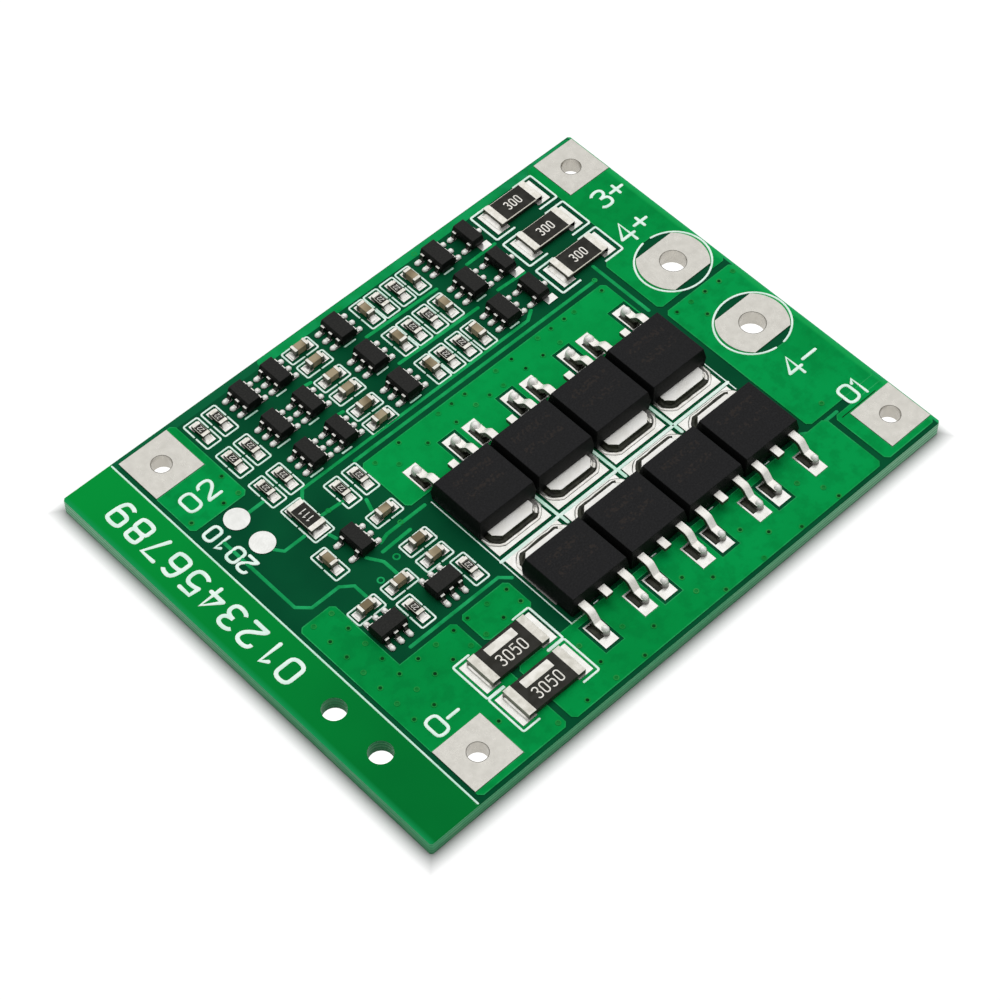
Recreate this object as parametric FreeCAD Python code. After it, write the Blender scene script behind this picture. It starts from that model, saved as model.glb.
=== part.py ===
import FreeCAD
import Part
import math
import os
from dataclasses import dataclass

# Battery management board: a bare laminate panel with six wire terminals, eight power
# transistors, three cell rows of small packages and chips, and two current sensing resistors.
#
# All sizes are millimetres. The part's frame has its origin at the centre of the board's
# underside, +X along the length and +Z up. Places on the board are given as "along" and
# "across": distances from its near left corner.

# Board
board_thickness = 1.6
board_corner_cut = 0.2

# Metal and mask on the board's faces
copper_rise = 0.05
land_rise = 0.08
terminal_rise = 0.12
underside_land_depth = 0.05
mask_gap = 0.06
isolation_gap = 0.32
cut_margin = 1.0

# Handling strip at the left end, with two bare holes
strip_width = 5.2
strip_clearance = 0.55
strip_hole_radius = 1.1
strip_hole_spacing = 5.55
strip_hole_along = 2.82
strip_holes_across = 11.7

# Wire terminals with plated holes
plating = 0.05
wire_hole_radius = 0.95
left_terminal_length = 5.3
left_terminal_width = 5.05
right_terminal_length = 4.9
right_terminal_width = 4.9
right_terminal_inset = 0.13
near_terminal_inset = 1.05
far_terminal_inset = 0.45
pack_hole_radius = 1.25
pack_land_radius = 3.35
pack_land_width = 4.95
pack_underside_length = 5.3
pack_terminal_inset = 3.85
pack_terminal_spacing = 9.8
pack_terminals_across = 23.55

# Round test lands with no hole
probe_radius = 1.15
probe_along = 9.33
probe_across = 32.35
probe_spacing = 3.3

# Power transistors: moulded body, heat tab with a cut centre lead, two formed outer leads
transistors_per_row = 4
transistor_gap = 0.27
transistor_body_width = 6.6
transistor_body_length = 6.1
transistor_body_height = 2.3
transistor_mould_draft = 0.22
transistor_mould_foot_draft = 0.08
transistor_parting_height = 1.1
tab_width = 4.75
tab_thickness = 0.5
tab_reach = 1.1
tab_corner_cut = 0.65
slug_depth = 4.0
lead_width = 0.76
lead_thickness = 0.5
lead_spacing = 4.57
lead_reach = 2.9
lead_shoulder = 0.85
lead_bend_radius = 0.4
lead_bend_angle = 48.0
lead_embed = 0.6
lead_stub = 1.0
tab_land_margin = 0.645
tab_land_toe = 0.95
lead_land_margin = 0.37
lead_land_toe = 0.89
lead_land_length = 2.75
upper_row_placing = (0.1, 0.13)
lower_row_placing = (0.32, 0.19)

# Current sensing resistors beside the transistors
sense_length = 6.35
sense_width = 3.15
sense_height = 0.65
sense_band = 0.8
sense_land_toe = 0.77
sense_land_margin = 0.1
sense_land_gap = 0.85
sense_along = 16.65
sense_across = 6.57

# Cell rows: equal rows along the far edge
cell_rows = 3
cell_row_spacing = 4.25
cell_row_inset = 2.82
cell_row_start = 3.43
row_placing = 0.15

# Balancing resistors, one at the right end of each cell row
balance_length = 5.0
balance_width = 2.5
balance_height = 0.6
balance_band = 0.7
balance_land_toe = 0.75
balance_land_margin = 0.15
balance_along = 50.2

# Small packages with three, five or six leads
small_body_height = 1.1
small_body_standoff = 0.1
small_mould_draft = 0.1
small_lead_width = 0.42
small_lead_thickness = 0.15
small_lead_pitch = 1.0
small_lead_shoulder = 0.14
small_lead_angle = 75.0
small_land_length = 0.8
small_land_margin = 0.05
chip_body_length = 2.95
chip_body_width = 1.7
chip_reach = 0.68
shifter_body_length = 2.85
shifter_body_width = 1.5
shifter_reach = 0.62
switch_body_length = 2.75
switch_body_width = 1.4
switch_reach = 0.6
switch_lead_spacing = 1.9

# Rectangular chips
chip_length = 1.6
chip_width = 0.8
resistor_height = 0.45
capacitor_height = 0.8
chip_band = 0.32
chip_land_toe = 0.5
band_thickness = 0.03
link_length = 3.2
link_width = 1.6
link_height = 0.55
link_band = 0.5
link_land_toe = 0.4
link_place = (13.6, 29.85)

# Places along each cell row
shifter_places = (18.08, 21.65)
protection_place = 28.95
balance_chip_place = 40.9
balance_switch_place = 44.6
row_resistor_places = (13.08, 15.05, 33.94, 35.87)
row_capacitor_places = (32.2, 37.75)
row_capacitor_pair_place = 25.14
row_capacitor_pair_spacing = 2.0
row_spare_land_place = (45.15, -1.45)
row_spare_land_size = (1.15, 0.75)

# Places of the output section, between the strip and the power transistors
driver_places = ((11.1, 17.05), (17.3, 17.05))
output_switch_place = (15.0, 25.15)
upright_resistor_places = ((17.66, 29.95), (19.7, 29.95), (14.0, 16.85), (20.07, 16.85))
upright_capacitor_places = ((12.0, 25.2),)
lying_capacitor_places = (
    (18.76, 25.9),
    (18.8, 21.8),
    (18.8, 19.75),
    (14.83, 19.75),
    (11.13, 19.75),
)

# Copper fields under the mask
pour_edge = 0.45
pour_corner = 0.35
pour_gap = 0.7
left_pour_right = 15.45
left_pour_top = 13.9
left_pour_arm_right = 9.45
left_pour_arm_top = 22.05
tap_pour_right = 11.8
tap_pour_length = 9.8
centre_pour_left = 20.6
centre_pour_margin = 2.99
centre_pour_width = 6.0
small_pour_right = 21.4
small_pour_bottom = 10.6
near_pour_top = 7.1
tap_one_pour_length = 6.1
tap_one_pour_top = 6.6
pack_pour_bottom = 7.5
pack_pour_split = 25.1
pack_pour_step = 32.45
battery_pour_length = 5.72

# The sections of the board, which set its length and its width
output_section_length = 22.3
pack_section_margin = 1.62
pack_section_length = 8.6
terminal_row_gap = 1.52
power_section_margin = 3.42
tab_land_gap = 0.66

tab_land_width = tab_width + 2 * tab_land_margin
tab_land_end = transistor_body_length / 2 + tab_reach + tab_land_toe
tab_land_length = slug_depth + tab_reach + tab_land_toe
lead_land_width = lead_width + 2 * lead_land_margin
lead_land_end = transistor_body_length / 2 + lead_reach + lead_land_toe
transistor_pitch = transistor_body_width + transistor_gap
transistors_end = output_section_length + transistors_per_row * transistor_pitch
lower_row_across = power_section_margin + lead_land_end
upper_row_across = lower_row_across + 2 * tab_land_end + tab_land_gap
centre_pour_top = upper_row_across + lead_land_end + centre_pour_margin
pack_pour_left = transistors_end + pack_section_margin
cell_rows_end = balance_along + balance_length / 2 + balance_land_toe
board_length = max(
    pack_pour_left + pack_section_length,
    cell_rows_end + terminal_row_gap + right_terminal_length + right_terminal_inset,
)
board_width = (
    centre_pour_top + cell_row_start + (cell_rows - 1) * cell_row_spacing + cell_row_inset
)
left_limit = strip_width + strip_clearance
right_limit = board_length - pour_edge / 2
far_limit = board_width - pour_edge
face = board_thickness
seat = board_thickness + land_rise


@dataclass(frozen=True)
class Land:
    """A tinned rectangle on the board's face."""

    along: float
    across: float
    length: float
    width: float
    isolated: bool = False


nodes = {}
lands = []


def add(name, *solids):
    """Put solids into the named sub-part."""
    nodes.setdefault(name, []).extend(solids)


def block(length, width, height, base=0.0):
    """A box centred on the origin in plan, with its underside at base."""
    solid = Part.makeBox(length, width, height)
    solid.translate(FreeCAD.Vector(-length / 2, -width / 2, base))
    return solid


def disc(radius, height, base=0.0):
    """A cylinder on the Z axis, with its underside at base."""
    return Part.makeCylinder(radius, height, FreeCAD.Vector(0, 0, base))


def placed(shape, along, across, height=0.0, turn=0.0):
    """Turn a shape about its own Z axis and set it at a place on the board."""
    result = shape.copy()
    result.rotate(FreeCAD.Vector(0, 0, 0), FreeCAD.Vector(0, 0, 1), turn)
    result.translate(FreeCAD.Vector(along - board_length / 2, across - board_width / 2, height))
    return result


def turned(x, y, turn):
    """A plan offset after a turn about Z."""
    angle = math.radians(turn)
    return (
        x * math.cos(angle) - y * math.sin(angle),
        x * math.sin(angle) + y * math.cos(angle),
    )


def rectangle(length, width, height):
    """The four corners of a level rectangle about the Z axis."""
    half_length = length / 2
    half_width = width / 2
    return [
        FreeCAD.Vector(-half_length, -half_width, height),
        FreeCAD.Vector(half_length, -half_width, height),
        FreeCAD.Vector(half_length, half_width, height),
        FreeCAD.Vector(-half_length, half_width, height),
    ]


def flat_sided_solid(rings):
    """A closed solid with flat sides through four-cornered rings, from the lowest to the highest."""
    faces = [Part.Face(Part.makePolygon(ring + ring[:1])) for ring in (rings[0], rings[-1])]
    for lower, upper in zip(rings, rings[1:]):
        for first in range(4):
            second = (first + 1) % 4
            corners = [lower[first], lower[second], upper[second], upper[first], lower[first]]
            faces.append(Part.Face(Part.makePolygon(corners)))
    solid = Part.Solid(Part.makeShell(faces))
    solid.fix(1e-6, 1e-6, 1e-6)
    return solid


def moulding(length, width, height, parting, draft, foot_draft):
    """A moulded body that tapers up and down from its parting line."""
    return flat_sided_solid([
        rectangle(length - 2 * foot_draft, width - 2 * foot_draft, 0.0),
        rectangle(length, width, parting),
        rectangle(length - 2 * draft, width - 2 * draft, height),
    ])


def arc_point(centre, radius, degrees):
    """A point on a circle in the lead's side view, as outward distance and height."""
    angle = math.radians(degrees)
    return (centre[0] + radius * math.cos(angle), centre[1] + radius * math.sin(angle))


def side_vector(point):
    """A side-view point, outward distance and height, in the plane of the lead."""
    return FreeCAD.Vector(0.0, -point[0], point[1])


def lead_from_outline(edges, width):
    """A lead of that width from the closed edges of its side view."""
    outline = Part.Face(Part.Wire(edges))
    lead = outline.extrude(FreeCAD.Vector(width, 0, 0))
    lead.translate(FreeCAD.Vector(-width / 2, 0, 0))
    return lead


def gull_wing(width, thickness, height, embed, shoulder, radius, angle, reach):
    """A formed lead that leaves a wall at the origin towards -Y and ends in a flat foot.

    Its side view is a level shoulder, a bend down, a straight slope, a bend back and the foot.
    A bend is an arc on its outer side and sharp on its inner side, as a forming tool leaves it.
    """
    half = thickness / 2
    sine = math.sin(math.radians(angle))
    cosine = math.cos(math.radians(angle))
    slope = (height - half - 2 * radius * (1 - cosine)) / sine
    upper_centre = (shoulder, height - radius)
    lower_centre = (shoulder + 2 * radius * sine + slope * cosine, half + radius)
    inner_reach = (radius - half) / math.cos(math.radians(angle / 2))
    upper_inner = arc_point(upper_centre, inner_reach, 90.0 - angle / 2)
    lower_inner = arc_point(lower_centre, inner_reach, 270.0 - angle / 2)
    wall_top = (-embed, height + half)
    bends = [
        (upper_centre, 90.0, 90.0 - angle, [lower_inner, (reach, thickness), (reach, 0.0)]),
        (lower_centre, 270.0, 270.0 - angle, [upper_inner, (-embed, height - half), wall_top]),
    ]
    edges = []
    last = side_vector(wall_top)
    for centre, start, stop, points in bends:
        arc = [
            side_vector(arc_point(centre, radius + half, degrees))
            for degrees in (start, (start + stop) / 2, stop)
        ]
        edges.append(Part.LineSegment(last, arc[0]).toShape())
        edges.append(Part.Arc(*arc).toShape())
        last = arc[2]
        for point in points:
            edges.append(Part.LineSegment(last, side_vector(point)).toShape())
            last = side_vector(point)
    return lead_from_outline(edges, width)


def folded_lead(width, thickness, height, shoulder, angle, reach):
    """A small lead with sharp folds, from a wall at the origin towards -Y to its flat foot.

    Its shoulder is too short to have a fold on the underside.
    """
    half = thickness / 2
    mitre = half * math.tan(math.radians(angle / 2))
    foot_start = shoulder + (height - half) / math.tan(math.radians(angle))
    points = [
        (0.0, height - half),
        (foot_start - mitre, 0.0),
        (reach, 0.0),
        (reach, thickness),
        (foot_start + mitre, thickness),
        (shoulder + mitre, height + half),
        (0.0, height + half),
    ]
    outline = Part.makePolygon([side_vector(point) for point in points + points[:1]])
    return lead_from_outline(outline.Edges, width)


def lay_land(along, across, length, width, turn=0.0, isolated=False):
    """Note one tinned land, with its length along the board unless it is turned."""
    if turn % 180.0:
        length, width = width, length
    lands.append(Land(along, across, length, width, isolated))


# Wire terminals

def terminal(outline, underside, hole_radius):
    """A plated through hole with a land on each face, made from the lands' flat outlines."""
    top = outline.extrude(FreeCAD.Vector(0, 0, terminal_rise))
    top.translate(FreeCAD.Vector(0, 0, face))
    bottom = underside.extrude(FreeCAD.Vector(0, 0, underside_land_depth))
    barrel = disc(hole_radius + plating, face)
    hole = disc(hole_radius, face + terminal_rise + 2 * cut_margin, -cut_margin)
    return top.fuse([barrel, bottom]).removeSplitter().cut(hole)


def square_outline(length, width):
    """The flat outline of a square terminal."""
    corners = rectangle(length, width, 0.0)
    return Part.Face(Part.makePolygon(corners + corners[:1]))


def pack_outline():
    """The flat outline of a pack terminal: a circle with two flats."""
    round_face = Part.Face(Part.Wire(Part.makeCircle(pack_land_radius)))
    return round_face.common(square_outline(2 * pack_land_radius, pack_land_width))


left_terminal_along = left_limit + left_terminal_length / 2
right_terminal_along = board_length - right_terminal_inset - right_terminal_length / 2
far_left_across = board_width - far_terminal_inset - left_terminal_width / 2
far_right_across = board_width - far_terminal_inset - right_terminal_width / 2
near_left_across = near_terminal_inset + left_terminal_width / 2
near_right_across = near_terminal_inset + right_terminal_width / 2
pack_along = board_length - pack_terminal_inset

terminal_places = {
    "battery_plus_terminal": (right_terminal_along, far_right_across),
    "battery_minus_terminal": (left_terminal_along, near_left_across),
    "cell_tap_one_terminal": (right_terminal_along, near_right_across),
    "cell_tap_two_terminal": (left_terminal_along, far_left_across),
    "pack_plus_terminal": (pack_along, pack_terminals_across + pack_terminal_spacing / 2),
    "pack_minus_terminal": (pack_along, pack_terminals_across - pack_terminal_spacing / 2),
}


def terminal_shape(name):
    """The terminal of that name, about its own axis."""
    if name.startswith("pack"):
        underside = square_outline(pack_underside_length, pack_land_width)
        return terminal(pack_outline(), underside, pack_hole_radius)
    outline = square_outline(right_terminal_length, right_terminal_width)
    if terminal_places[name][0] < board_length / 2:
        outline = square_outline(left_terminal_length, left_terminal_width)
    return terminal(outline, outline, wire_hole_radius)


def make_terminals():
    """The six wire terminals and the two round test lands."""
    for name, (along, across) in terminal_places.items():
        add(name, placed(terminal_shape(name), along, across))
    for side in (-0.5, 0.5):
        probe = disc(probe_radius, land_rise, face)
        add("probe_lands", placed(probe, probe_along, probe_across + side * probe_spacing))


# Board

def make_board():
    """The laminate panel, snapped to size, with its bare holes and the seats of the terminals."""
    panel = block(board_length, board_width, board_thickness)
    corners = [edge for edge in panel.Edges if abs(edge.tangentAt(edge.FirstParameter).z) > 0.5]
    panel = panel.makeChamfer(board_corner_cut, corners)
    cuts = []
    for side in (-0.5, 0.5):
        hole = disc(strip_hole_radius, board_thickness + 2 * cut_margin, -cut_margin)
        across = strip_holes_across + side * strip_hole_spacing
        cuts.append(placed(hole, strip_hole_along, across))
    for name, (along, across) in terminal_places.items():
        radius = pack_hole_radius if name.startswith("pack") else wire_hole_radius
        hole = disc(radius + plating, board_thickness + 2 * cut_margin, -cut_margin)
        cuts.append(placed(hole, along, across))
    panel = panel.cut(cuts)
    seats = [solid for name in terminal_places for solid in nodes[name]]
    add("printed_board", panel.cut(seats))


# Power transistors

def transistor_metal():
    """The drain piece, with its heat tab and cut centre lead, and the two outer leads."""
    wall = -transistor_body_length / 2
    slug_start = transistor_body_length / 2 - slug_depth
    tab_end = transistor_body_length / 2 + tab_reach
    tab = Part.makeBox(tab_width, tab_end - slug_start, tab_thickness)
    tab.translate(FreeCAD.Vector(-tab_width / 2, slug_start, 0))
    tab_middle = (slug_start + tab_end) / 2
    outer_corners = [
        edge
        for edge in tab.Edges
        if abs(edge.tangentAt(edge.FirstParameter).z) > 0.5 and edge.CenterOfMass.y > tab_middle
    ]
    tab = tab.makeChamfer(tab_corner_cut, outer_corners)
    stub_bottom = transistor_parting_height - lead_thickness / 2
    stub_length = slug_start - wall + lead_stub
    stub = Part.makeBox(lead_width, stub_length, lead_thickness)
    stub.translate(FreeCAD.Vector(-lead_width / 2, wall - lead_stub, stub_bottom))
    riser = Part.makeBox(lead_width, lead_thickness, stub_bottom + lead_thickness)
    riser.translate(FreeCAD.Vector(-lead_width / 2, slug_start, 0))
    drain = tab.fuse([stub, riser]).removeSplitter()
    lead = gull_wing(
        lead_width, lead_thickness, transistor_parting_height, lead_embed, lead_shoulder,
        lead_bend_radius, lead_bend_angle, lead_reach,
    )
    outer = []
    for side in (-0.5, 0.5):
        copy = lead.copy()
        copy.translate(FreeCAD.Vector(side * lead_spacing, wall, 0))
        outer.append(copy)
    return [drain] + outer


def transistor_body(metal):
    """The moulded body, open where the metal passes through it."""
    body = moulding(
        transistor_body_width, transistor_body_length, transistor_body_height,
        transistor_parting_height, transistor_mould_draft, transistor_mould_foot_draft,
    )
    return body.cut(metal)


def make_transistors():
    """Two rows of power transistors, tab to tab, and their lands."""
    metal = transistor_metal()
    body = transistor_body(metal)
    rows = ((upper_row_across, upper_row_placing, 180.0), (lower_row_across, lower_row_placing, 0.0))
    number = 0
    for across, placing, turn in rows:
        for index in range(transistors_per_row):
            number += 1
            along = output_section_length + (index + 0.5) * transistor_pitch
            body_place = (along + placing[0], across + placing[1])
            add(f"transistor_body_{number}", placed(body, *body_place, seat, turn))
            for solid in metal:
                add(f"transistor_lead_frame_{number}", placed(solid, *body_place, seat, turn))
            dx, dy = turned(0.0, tab_land_end - tab_land_length / 2, turn)
            lay_land(along + dx, across + dy, tab_land_width, tab_land_length, isolated=True)
            for side in (-0.5, 0.5):
                dx, dy = turned(side * lead_spacing, lead_land_length / 2 - lead_land_end, turn)
                gate = dx > 0 if turn else dx < 0
                lay_land(along + dx, across + dy, lead_land_width, lead_land_length, isolated=gate)


# Parts with a metal end at each side

@dataclass(frozen=True)
class TwoEnded:
    """A part with two metal ends, and how far its lands reach past it.

    The ends are bands that wrap over the top and under the base. On a part with capped ends
    they also cover its sides, and on one with solid ends the body only stands between them.
    """

    length: float
    width: float
    height: float
    band: float
    land_toe: float
    land_margin: float
    capped: bool = False
    solid_ends: bool = False

    @property
    def body(self):
        """The part without its ends."""
        end_depth = self.band if self.solid_ends else band_thickness
        side_depth = band_thickness if self.capped else 0.0
        return block(
            self.length - 2 * end_depth, self.width - 2 * side_depth,
            self.height - 2 * band_thickness, band_thickness,
        )

    @property
    def ends(self):
        """The two bands or caps."""
        ends = []
        for side in (-1, 1):
            end = block(self.band, self.width, self.height)
            end.translate(FreeCAD.Vector(side * (self.length - self.band) / 2, 0, 0))
            ends.append(end if self.solid_ends else end.cut(self.body))
        return ends


def place_two_ended(kind, names, along, across, turn=0.0, shift=0.0):
    """Set a two-ended part on its pair of lands, a little further across than the lands."""
    body_name, ends_name = names
    add(body_name, placed(kind.body, along, across + shift, seat, turn))
    for end in kind.ends:
        add(ends_name, placed(end, along, across + shift, seat, turn))
    land_length = kind.band + kind.land_toe
    land_width = kind.width + 2 * kind.land_margin
    for side in (-1, 1):
        dx, dy = turned(side * (kind.length / 2 + kind.land_toe - land_length / 2), 0.0, turn)
        lay_land(along + dx, across + dy, land_length, land_width, turn)


def row_across(row):
    """The centre line of a cell row, counted from the far edge."""
    return board_width - cell_row_inset - row * cell_row_spacing


def make_large_resistors():
    """The current sensing pair and the balancing resistor of each cell row."""
    sense = TwoEnded(sense_length, sense_width, sense_height, sense_band,
                     sense_land_toe, sense_land_margin)
    spacing = sense_width + 2 * sense_land_margin + sense_land_gap
    for number, side in enumerate((-0.5, 0.5), start=1):
        names = (f"sense_resistor_body_{number}", f"sense_resistor_bands_{number}")
        place_two_ended(sense, names, sense_along, sense_across + side * spacing)
    balance = TwoEnded(balance_length, balance_width, balance_height, balance_band,
                       balance_land_toe, balance_land_margin)
    for row in range(cell_rows):
        names = (f"balance_resistor_body_{row + 1}", f"balance_resistor_bands_{row + 1}")
        place_two_ended(balance, names, balance_along, row_across(row), shift=row_placing)


def make_chips():
    """All rectangular chip resistors and capacitors."""
    chip_resistor = TwoEnded(chip_length, chip_width, resistor_height, chip_band,
                             chip_land_toe, mask_gap, solid_ends=True)
    chip_capacitor = TwoEnded(chip_length, chip_width, capacitor_height, chip_band,
                              chip_land_toe, mask_gap, capped=True, solid_ends=True)
    link = TwoEnded(link_length, link_width, link_height, link_band, link_land_toe, mask_gap)
    resistor_names = ("chip_resistor_bodies", "chip_resistor_bands")
    capacitor_names = ("chip_capacitor_bodies", "chip_capacitor_caps")
    upright_resistors = list(upright_resistor_places)
    upright_capacitors = list(upright_capacitor_places)
    lying_capacitors = list(lying_capacitor_places)
    for row in range(cell_rows):
        across = row_across(row)
        upright_resistors += [(along, across) for along in row_resistor_places]
        upright_capacitors += [(along, across) for along in row_capacitor_places]
        for side in (-0.5, 0.5):
            pair_across = across + side * row_capacitor_pair_spacing
            lying_capacitors.append((row_capacitor_pair_place, pair_across))
    for along, across in upright_resistors:
        place_two_ended(chip_resistor, resistor_names, along, across, 90.0, row_placing)
    for along, across in upright_capacitors:
        place_two_ended(chip_capacitor, capacitor_names, along, across, 90.0, row_placing)
    for along, across in lying_capacitors:
        place_two_ended(chip_capacitor, capacitor_names, along, across)
    place_two_ended(link, resistor_names, *link_place, 90.0, row_placing)


# Small packages with formed leads

def small_package(body_length, body_width, reach, lead_offsets):
    """A small moulded package that stands along Y, with its leads on the -X and +X sides.

    lead_offsets holds the leads' places along Y, first those on -X and then those on +X.
    """
    height = small_body_height
    parting = height / 2
    body = moulding(body_width, body_length, height, parting, small_mould_draft,
                    small_mould_draft / 2)
    lead = folded_lead(
        small_lead_width, small_lead_thickness, parting + small_body_standoff,
        small_lead_shoulder, small_lead_angle, reach,
    )
    lead.translate(FreeCAD.Vector(0, -body_width / 2, -small_body_standoff))
    leads = []
    for turn, offsets in zip((-90.0, 90.0), lead_offsets):
        for offset in offsets:
            copy = lead.copy()
            copy.rotate(FreeCAD.Vector(0, 0, 0), FreeCAD.Vector(0, 0, 1), turn)
            copy.translate(FreeCAD.Vector(0, offset, 0))
            leads.append(copy)
    return body, leads


def place_package(package, name, along, across, turn, body_width, reach, lead_offsets):
    """Set a small package on the board and note a land under each lead."""
    body, leads = package
    height = seat + small_body_standoff
    add(name, placed(body, along, across, height, turn))
    for lead in leads:
        add("small_package_leads", placed(lead, along, across, height, turn))
    land_centre = body_width / 2 + reach - small_land_length / 4
    land_width = small_lead_width + 2 * small_land_margin
    for side, offsets in zip((-1, 1), lead_offsets):
        for offset in offsets:
            dx, dy = turned(side * land_centre, offset, turn)
            lay_land(along + dx, across + dy, small_land_length, land_width, turn)


def make_small_packages():
    """The packages with three, five and six leads of the cell rows and the output section."""
    all_three = (-small_lead_pitch, 0.0, small_lead_pitch)
    outer_two = (-switch_lead_spacing / 2, switch_lead_spacing / 2)
    six = (all_three, all_three)
    five = (outer_two, all_three)
    three = (outer_two, (0.0,))
    chip = small_package(chip_body_length, chip_body_width, chip_reach, six)
    shifter = small_package(shifter_body_length, shifter_body_width, shifter_reach, six)
    output = small_package(chip_body_length, shifter_body_width, chip_reach, five)
    switch = small_package(switch_body_length, switch_body_width, switch_reach, three)
    for row in range(cell_rows):
        across = row_across(row) + row_placing
        number = row + 1
        for index, along in enumerate(shifter_places):
            place_package(shifter, f"level_shifter_{2 * row + index + 1}", along, across, 0.0,
                          shifter_body_width, shifter_reach, six)
        place_package(chip, f"protection_chip_{number}", protection_place, across, 0.0,
                      chip_body_width, chip_reach, six)
        place_package(chip, f"balance_chip_{number}", balance_chip_place, across, 0.0,
                      chip_body_width, chip_reach, six)
        place_package(switch, f"balance_switch_{number}", balance_switch_place, across, 0.0,
                      switch_body_width, switch_reach, three)
        spare_along, spare_offset = row_spare_land_place
        lay_land(spare_along, row_across(row) + spare_offset, *row_spare_land_size)
    for number, (along, across) in enumerate(driver_places, start=1):
        place_package(chip, f"gate_driver_{number}", along, across, 90.0,
                      chip_body_width, chip_reach, six)
    place_package(output, "output_switch", *output_switch_place, 0.0,
                  shifter_body_width, chip_reach, five)


# Copper on the board's top face

def field(left, bottom, right, top):
    """A field of copper with cut corners, between four limits on the board's face."""
    plate = block(right - left, top - bottom, copper_rise)
    corners = [edge for edge in plate.Edges if abs(edge.tangentAt(edge.FirstParameter).z) > 0.5]
    plate = plate.makeChamfer(pour_corner, corners)
    return placed(plate, (left + right) / 2, (bottom + top) / 2, face)


def square_window(length, width, along, across, gap):
    """A cut through the copper fields that leaves a gap round a rectangle."""
    window = block(length + 2 * gap, width + 2 * gap, 2 * cut_margin, -cut_margin)
    return placed(window, along, across, face)


def round_window(radius, along, across):
    """A cut through the copper fields that leaves the mask's gap round a circle."""
    return placed(disc(radius + mask_gap, 2 * cut_margin, -cut_margin), along, across, face)


def make_copper():
    """The masked copper fields, cut back round the lands and terminals."""
    small_left = left_pour_right + pour_gap
    tap_one_left = right_limit - tap_one_pour_length
    battery_minus = field(left_limit, pour_edge, left_pour_right, left_pour_top).fuse(
        field(left_limit, pour_edge, left_pour_arm_right, left_pour_arm_top))
    pack_plus_bottom = pack_pour_split + pour_gap / 2
    battery_plus = field(right_limit - battery_pour_length, pack_plus_bottom, right_limit, far_limit)
    battery_plus = battery_plus.fuse(
        field(pack_pour_left, pack_plus_bottom, right_limit, pack_pour_step))
    fields = [
        battery_minus,
        battery_plus,
        field(left_limit, far_limit - tap_pour_length, tap_pour_right, far_limit),
        field(centre_pour_left, centre_pour_top - centre_pour_width, transistors_end,
              centre_pour_top),
        field(small_left, small_pour_bottom, small_pour_right, left_pour_top),
        field(small_left, pour_edge, tap_one_left - pour_gap, near_pour_top),
        field(pack_pour_left, pack_pour_bottom, right_limit, pack_pour_split - pour_gap / 2),
        field(tap_one_left, pour_edge, right_limit, tap_one_pour_top),
    ]
    cuts = []
    for land in lands:
        gap = isolation_gap if land.isolated else mask_gap
        cuts.append(square_window(land.length, land.width, land.along, land.across, gap))
    for side in (-0.5, 0.5):
        cuts.append(round_window(probe_radius, probe_along, probe_across + side * probe_spacing))
    for name, (along, across) in terminal_places.items():
        if name.startswith("pack"):
            cuts.append(round_window(pack_land_radius, along, across))
        elif along < board_length / 2:
            cuts.append(square_window(left_terminal_length, left_terminal_width, along, across,
                                      mask_gap))
        else:
            cuts.append(square_window(right_terminal_length, right_terminal_width, along, across,
                                      mask_gap))
    for plate in fields:
        cut = plate.removeSplitter().cut(cuts)
        add("masked_copper", *[solid for solid in cut.Solids if solid.Volume > 0.01])


def make_lands():
    """The tinned lands under the parts."""
    for land in lands:
        plate = block(land.length, land.width, land_rise)
        add("solder_lands", placed(plate, land.along, land.across, face))


def write_parts():
    """Write every sub-part to its own file."""
    os.makedirs("parts", exist_ok=True)
    for name, solids in nodes.items():
        shape = solids[0] if len(solids) == 1 else Part.makeCompound(solids)
        shape.exportStep(f"parts/{name}.step")
        print(name, len(solids), "solids")


make_terminals()
make_board()
make_transistors()
make_large_resistors()
make_chips()
make_small_packages()
make_copper()
make_lands()
write_parts()
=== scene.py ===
"""Looks of a battery management board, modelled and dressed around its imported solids."""

import logging
import math
from collections.abc import Iterator, Sequence
from contextlib import contextmanager
from dataclasses import dataclass, field
from enum import Enum

import bmesh
import bpy
from mathutils import Matrix, Vector, noise


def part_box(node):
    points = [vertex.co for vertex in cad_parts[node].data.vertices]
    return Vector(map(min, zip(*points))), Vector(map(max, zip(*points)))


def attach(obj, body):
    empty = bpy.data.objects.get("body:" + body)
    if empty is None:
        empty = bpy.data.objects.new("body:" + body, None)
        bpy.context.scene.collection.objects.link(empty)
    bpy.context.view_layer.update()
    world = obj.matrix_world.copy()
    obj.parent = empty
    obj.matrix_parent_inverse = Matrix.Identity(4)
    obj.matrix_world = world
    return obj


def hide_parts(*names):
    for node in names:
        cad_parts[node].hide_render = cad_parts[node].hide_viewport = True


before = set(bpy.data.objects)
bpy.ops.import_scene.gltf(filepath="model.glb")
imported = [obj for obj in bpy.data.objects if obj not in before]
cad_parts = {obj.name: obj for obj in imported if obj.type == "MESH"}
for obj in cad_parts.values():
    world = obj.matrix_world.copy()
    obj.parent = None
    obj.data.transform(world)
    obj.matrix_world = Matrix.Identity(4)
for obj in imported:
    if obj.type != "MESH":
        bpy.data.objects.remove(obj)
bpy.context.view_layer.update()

Point = tuple[float, float]
Piece = bpy.types.Object
Paint = bpy.types.Material
Socket = bpy.types.NodeSocket

LOG = logging.getLogger("board")
MM = 0.001
# Corners of a CAD node that are closer than this are one corner
WELD = 0.0005 * MM
# A face looks up where its normal rises by more than this
UPWARD = 0.9
# Faces that turn by less than this many degrees are one face
FLAT = 0.5
# Ink and rims start this far inside the surface under them
SUNK = 0.01 * MM
# The link is the one chip resistor that is wider than this, in millimetres
LINK_WIDTH = 1.2


# Bench: how a piece is made and handed over

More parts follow.
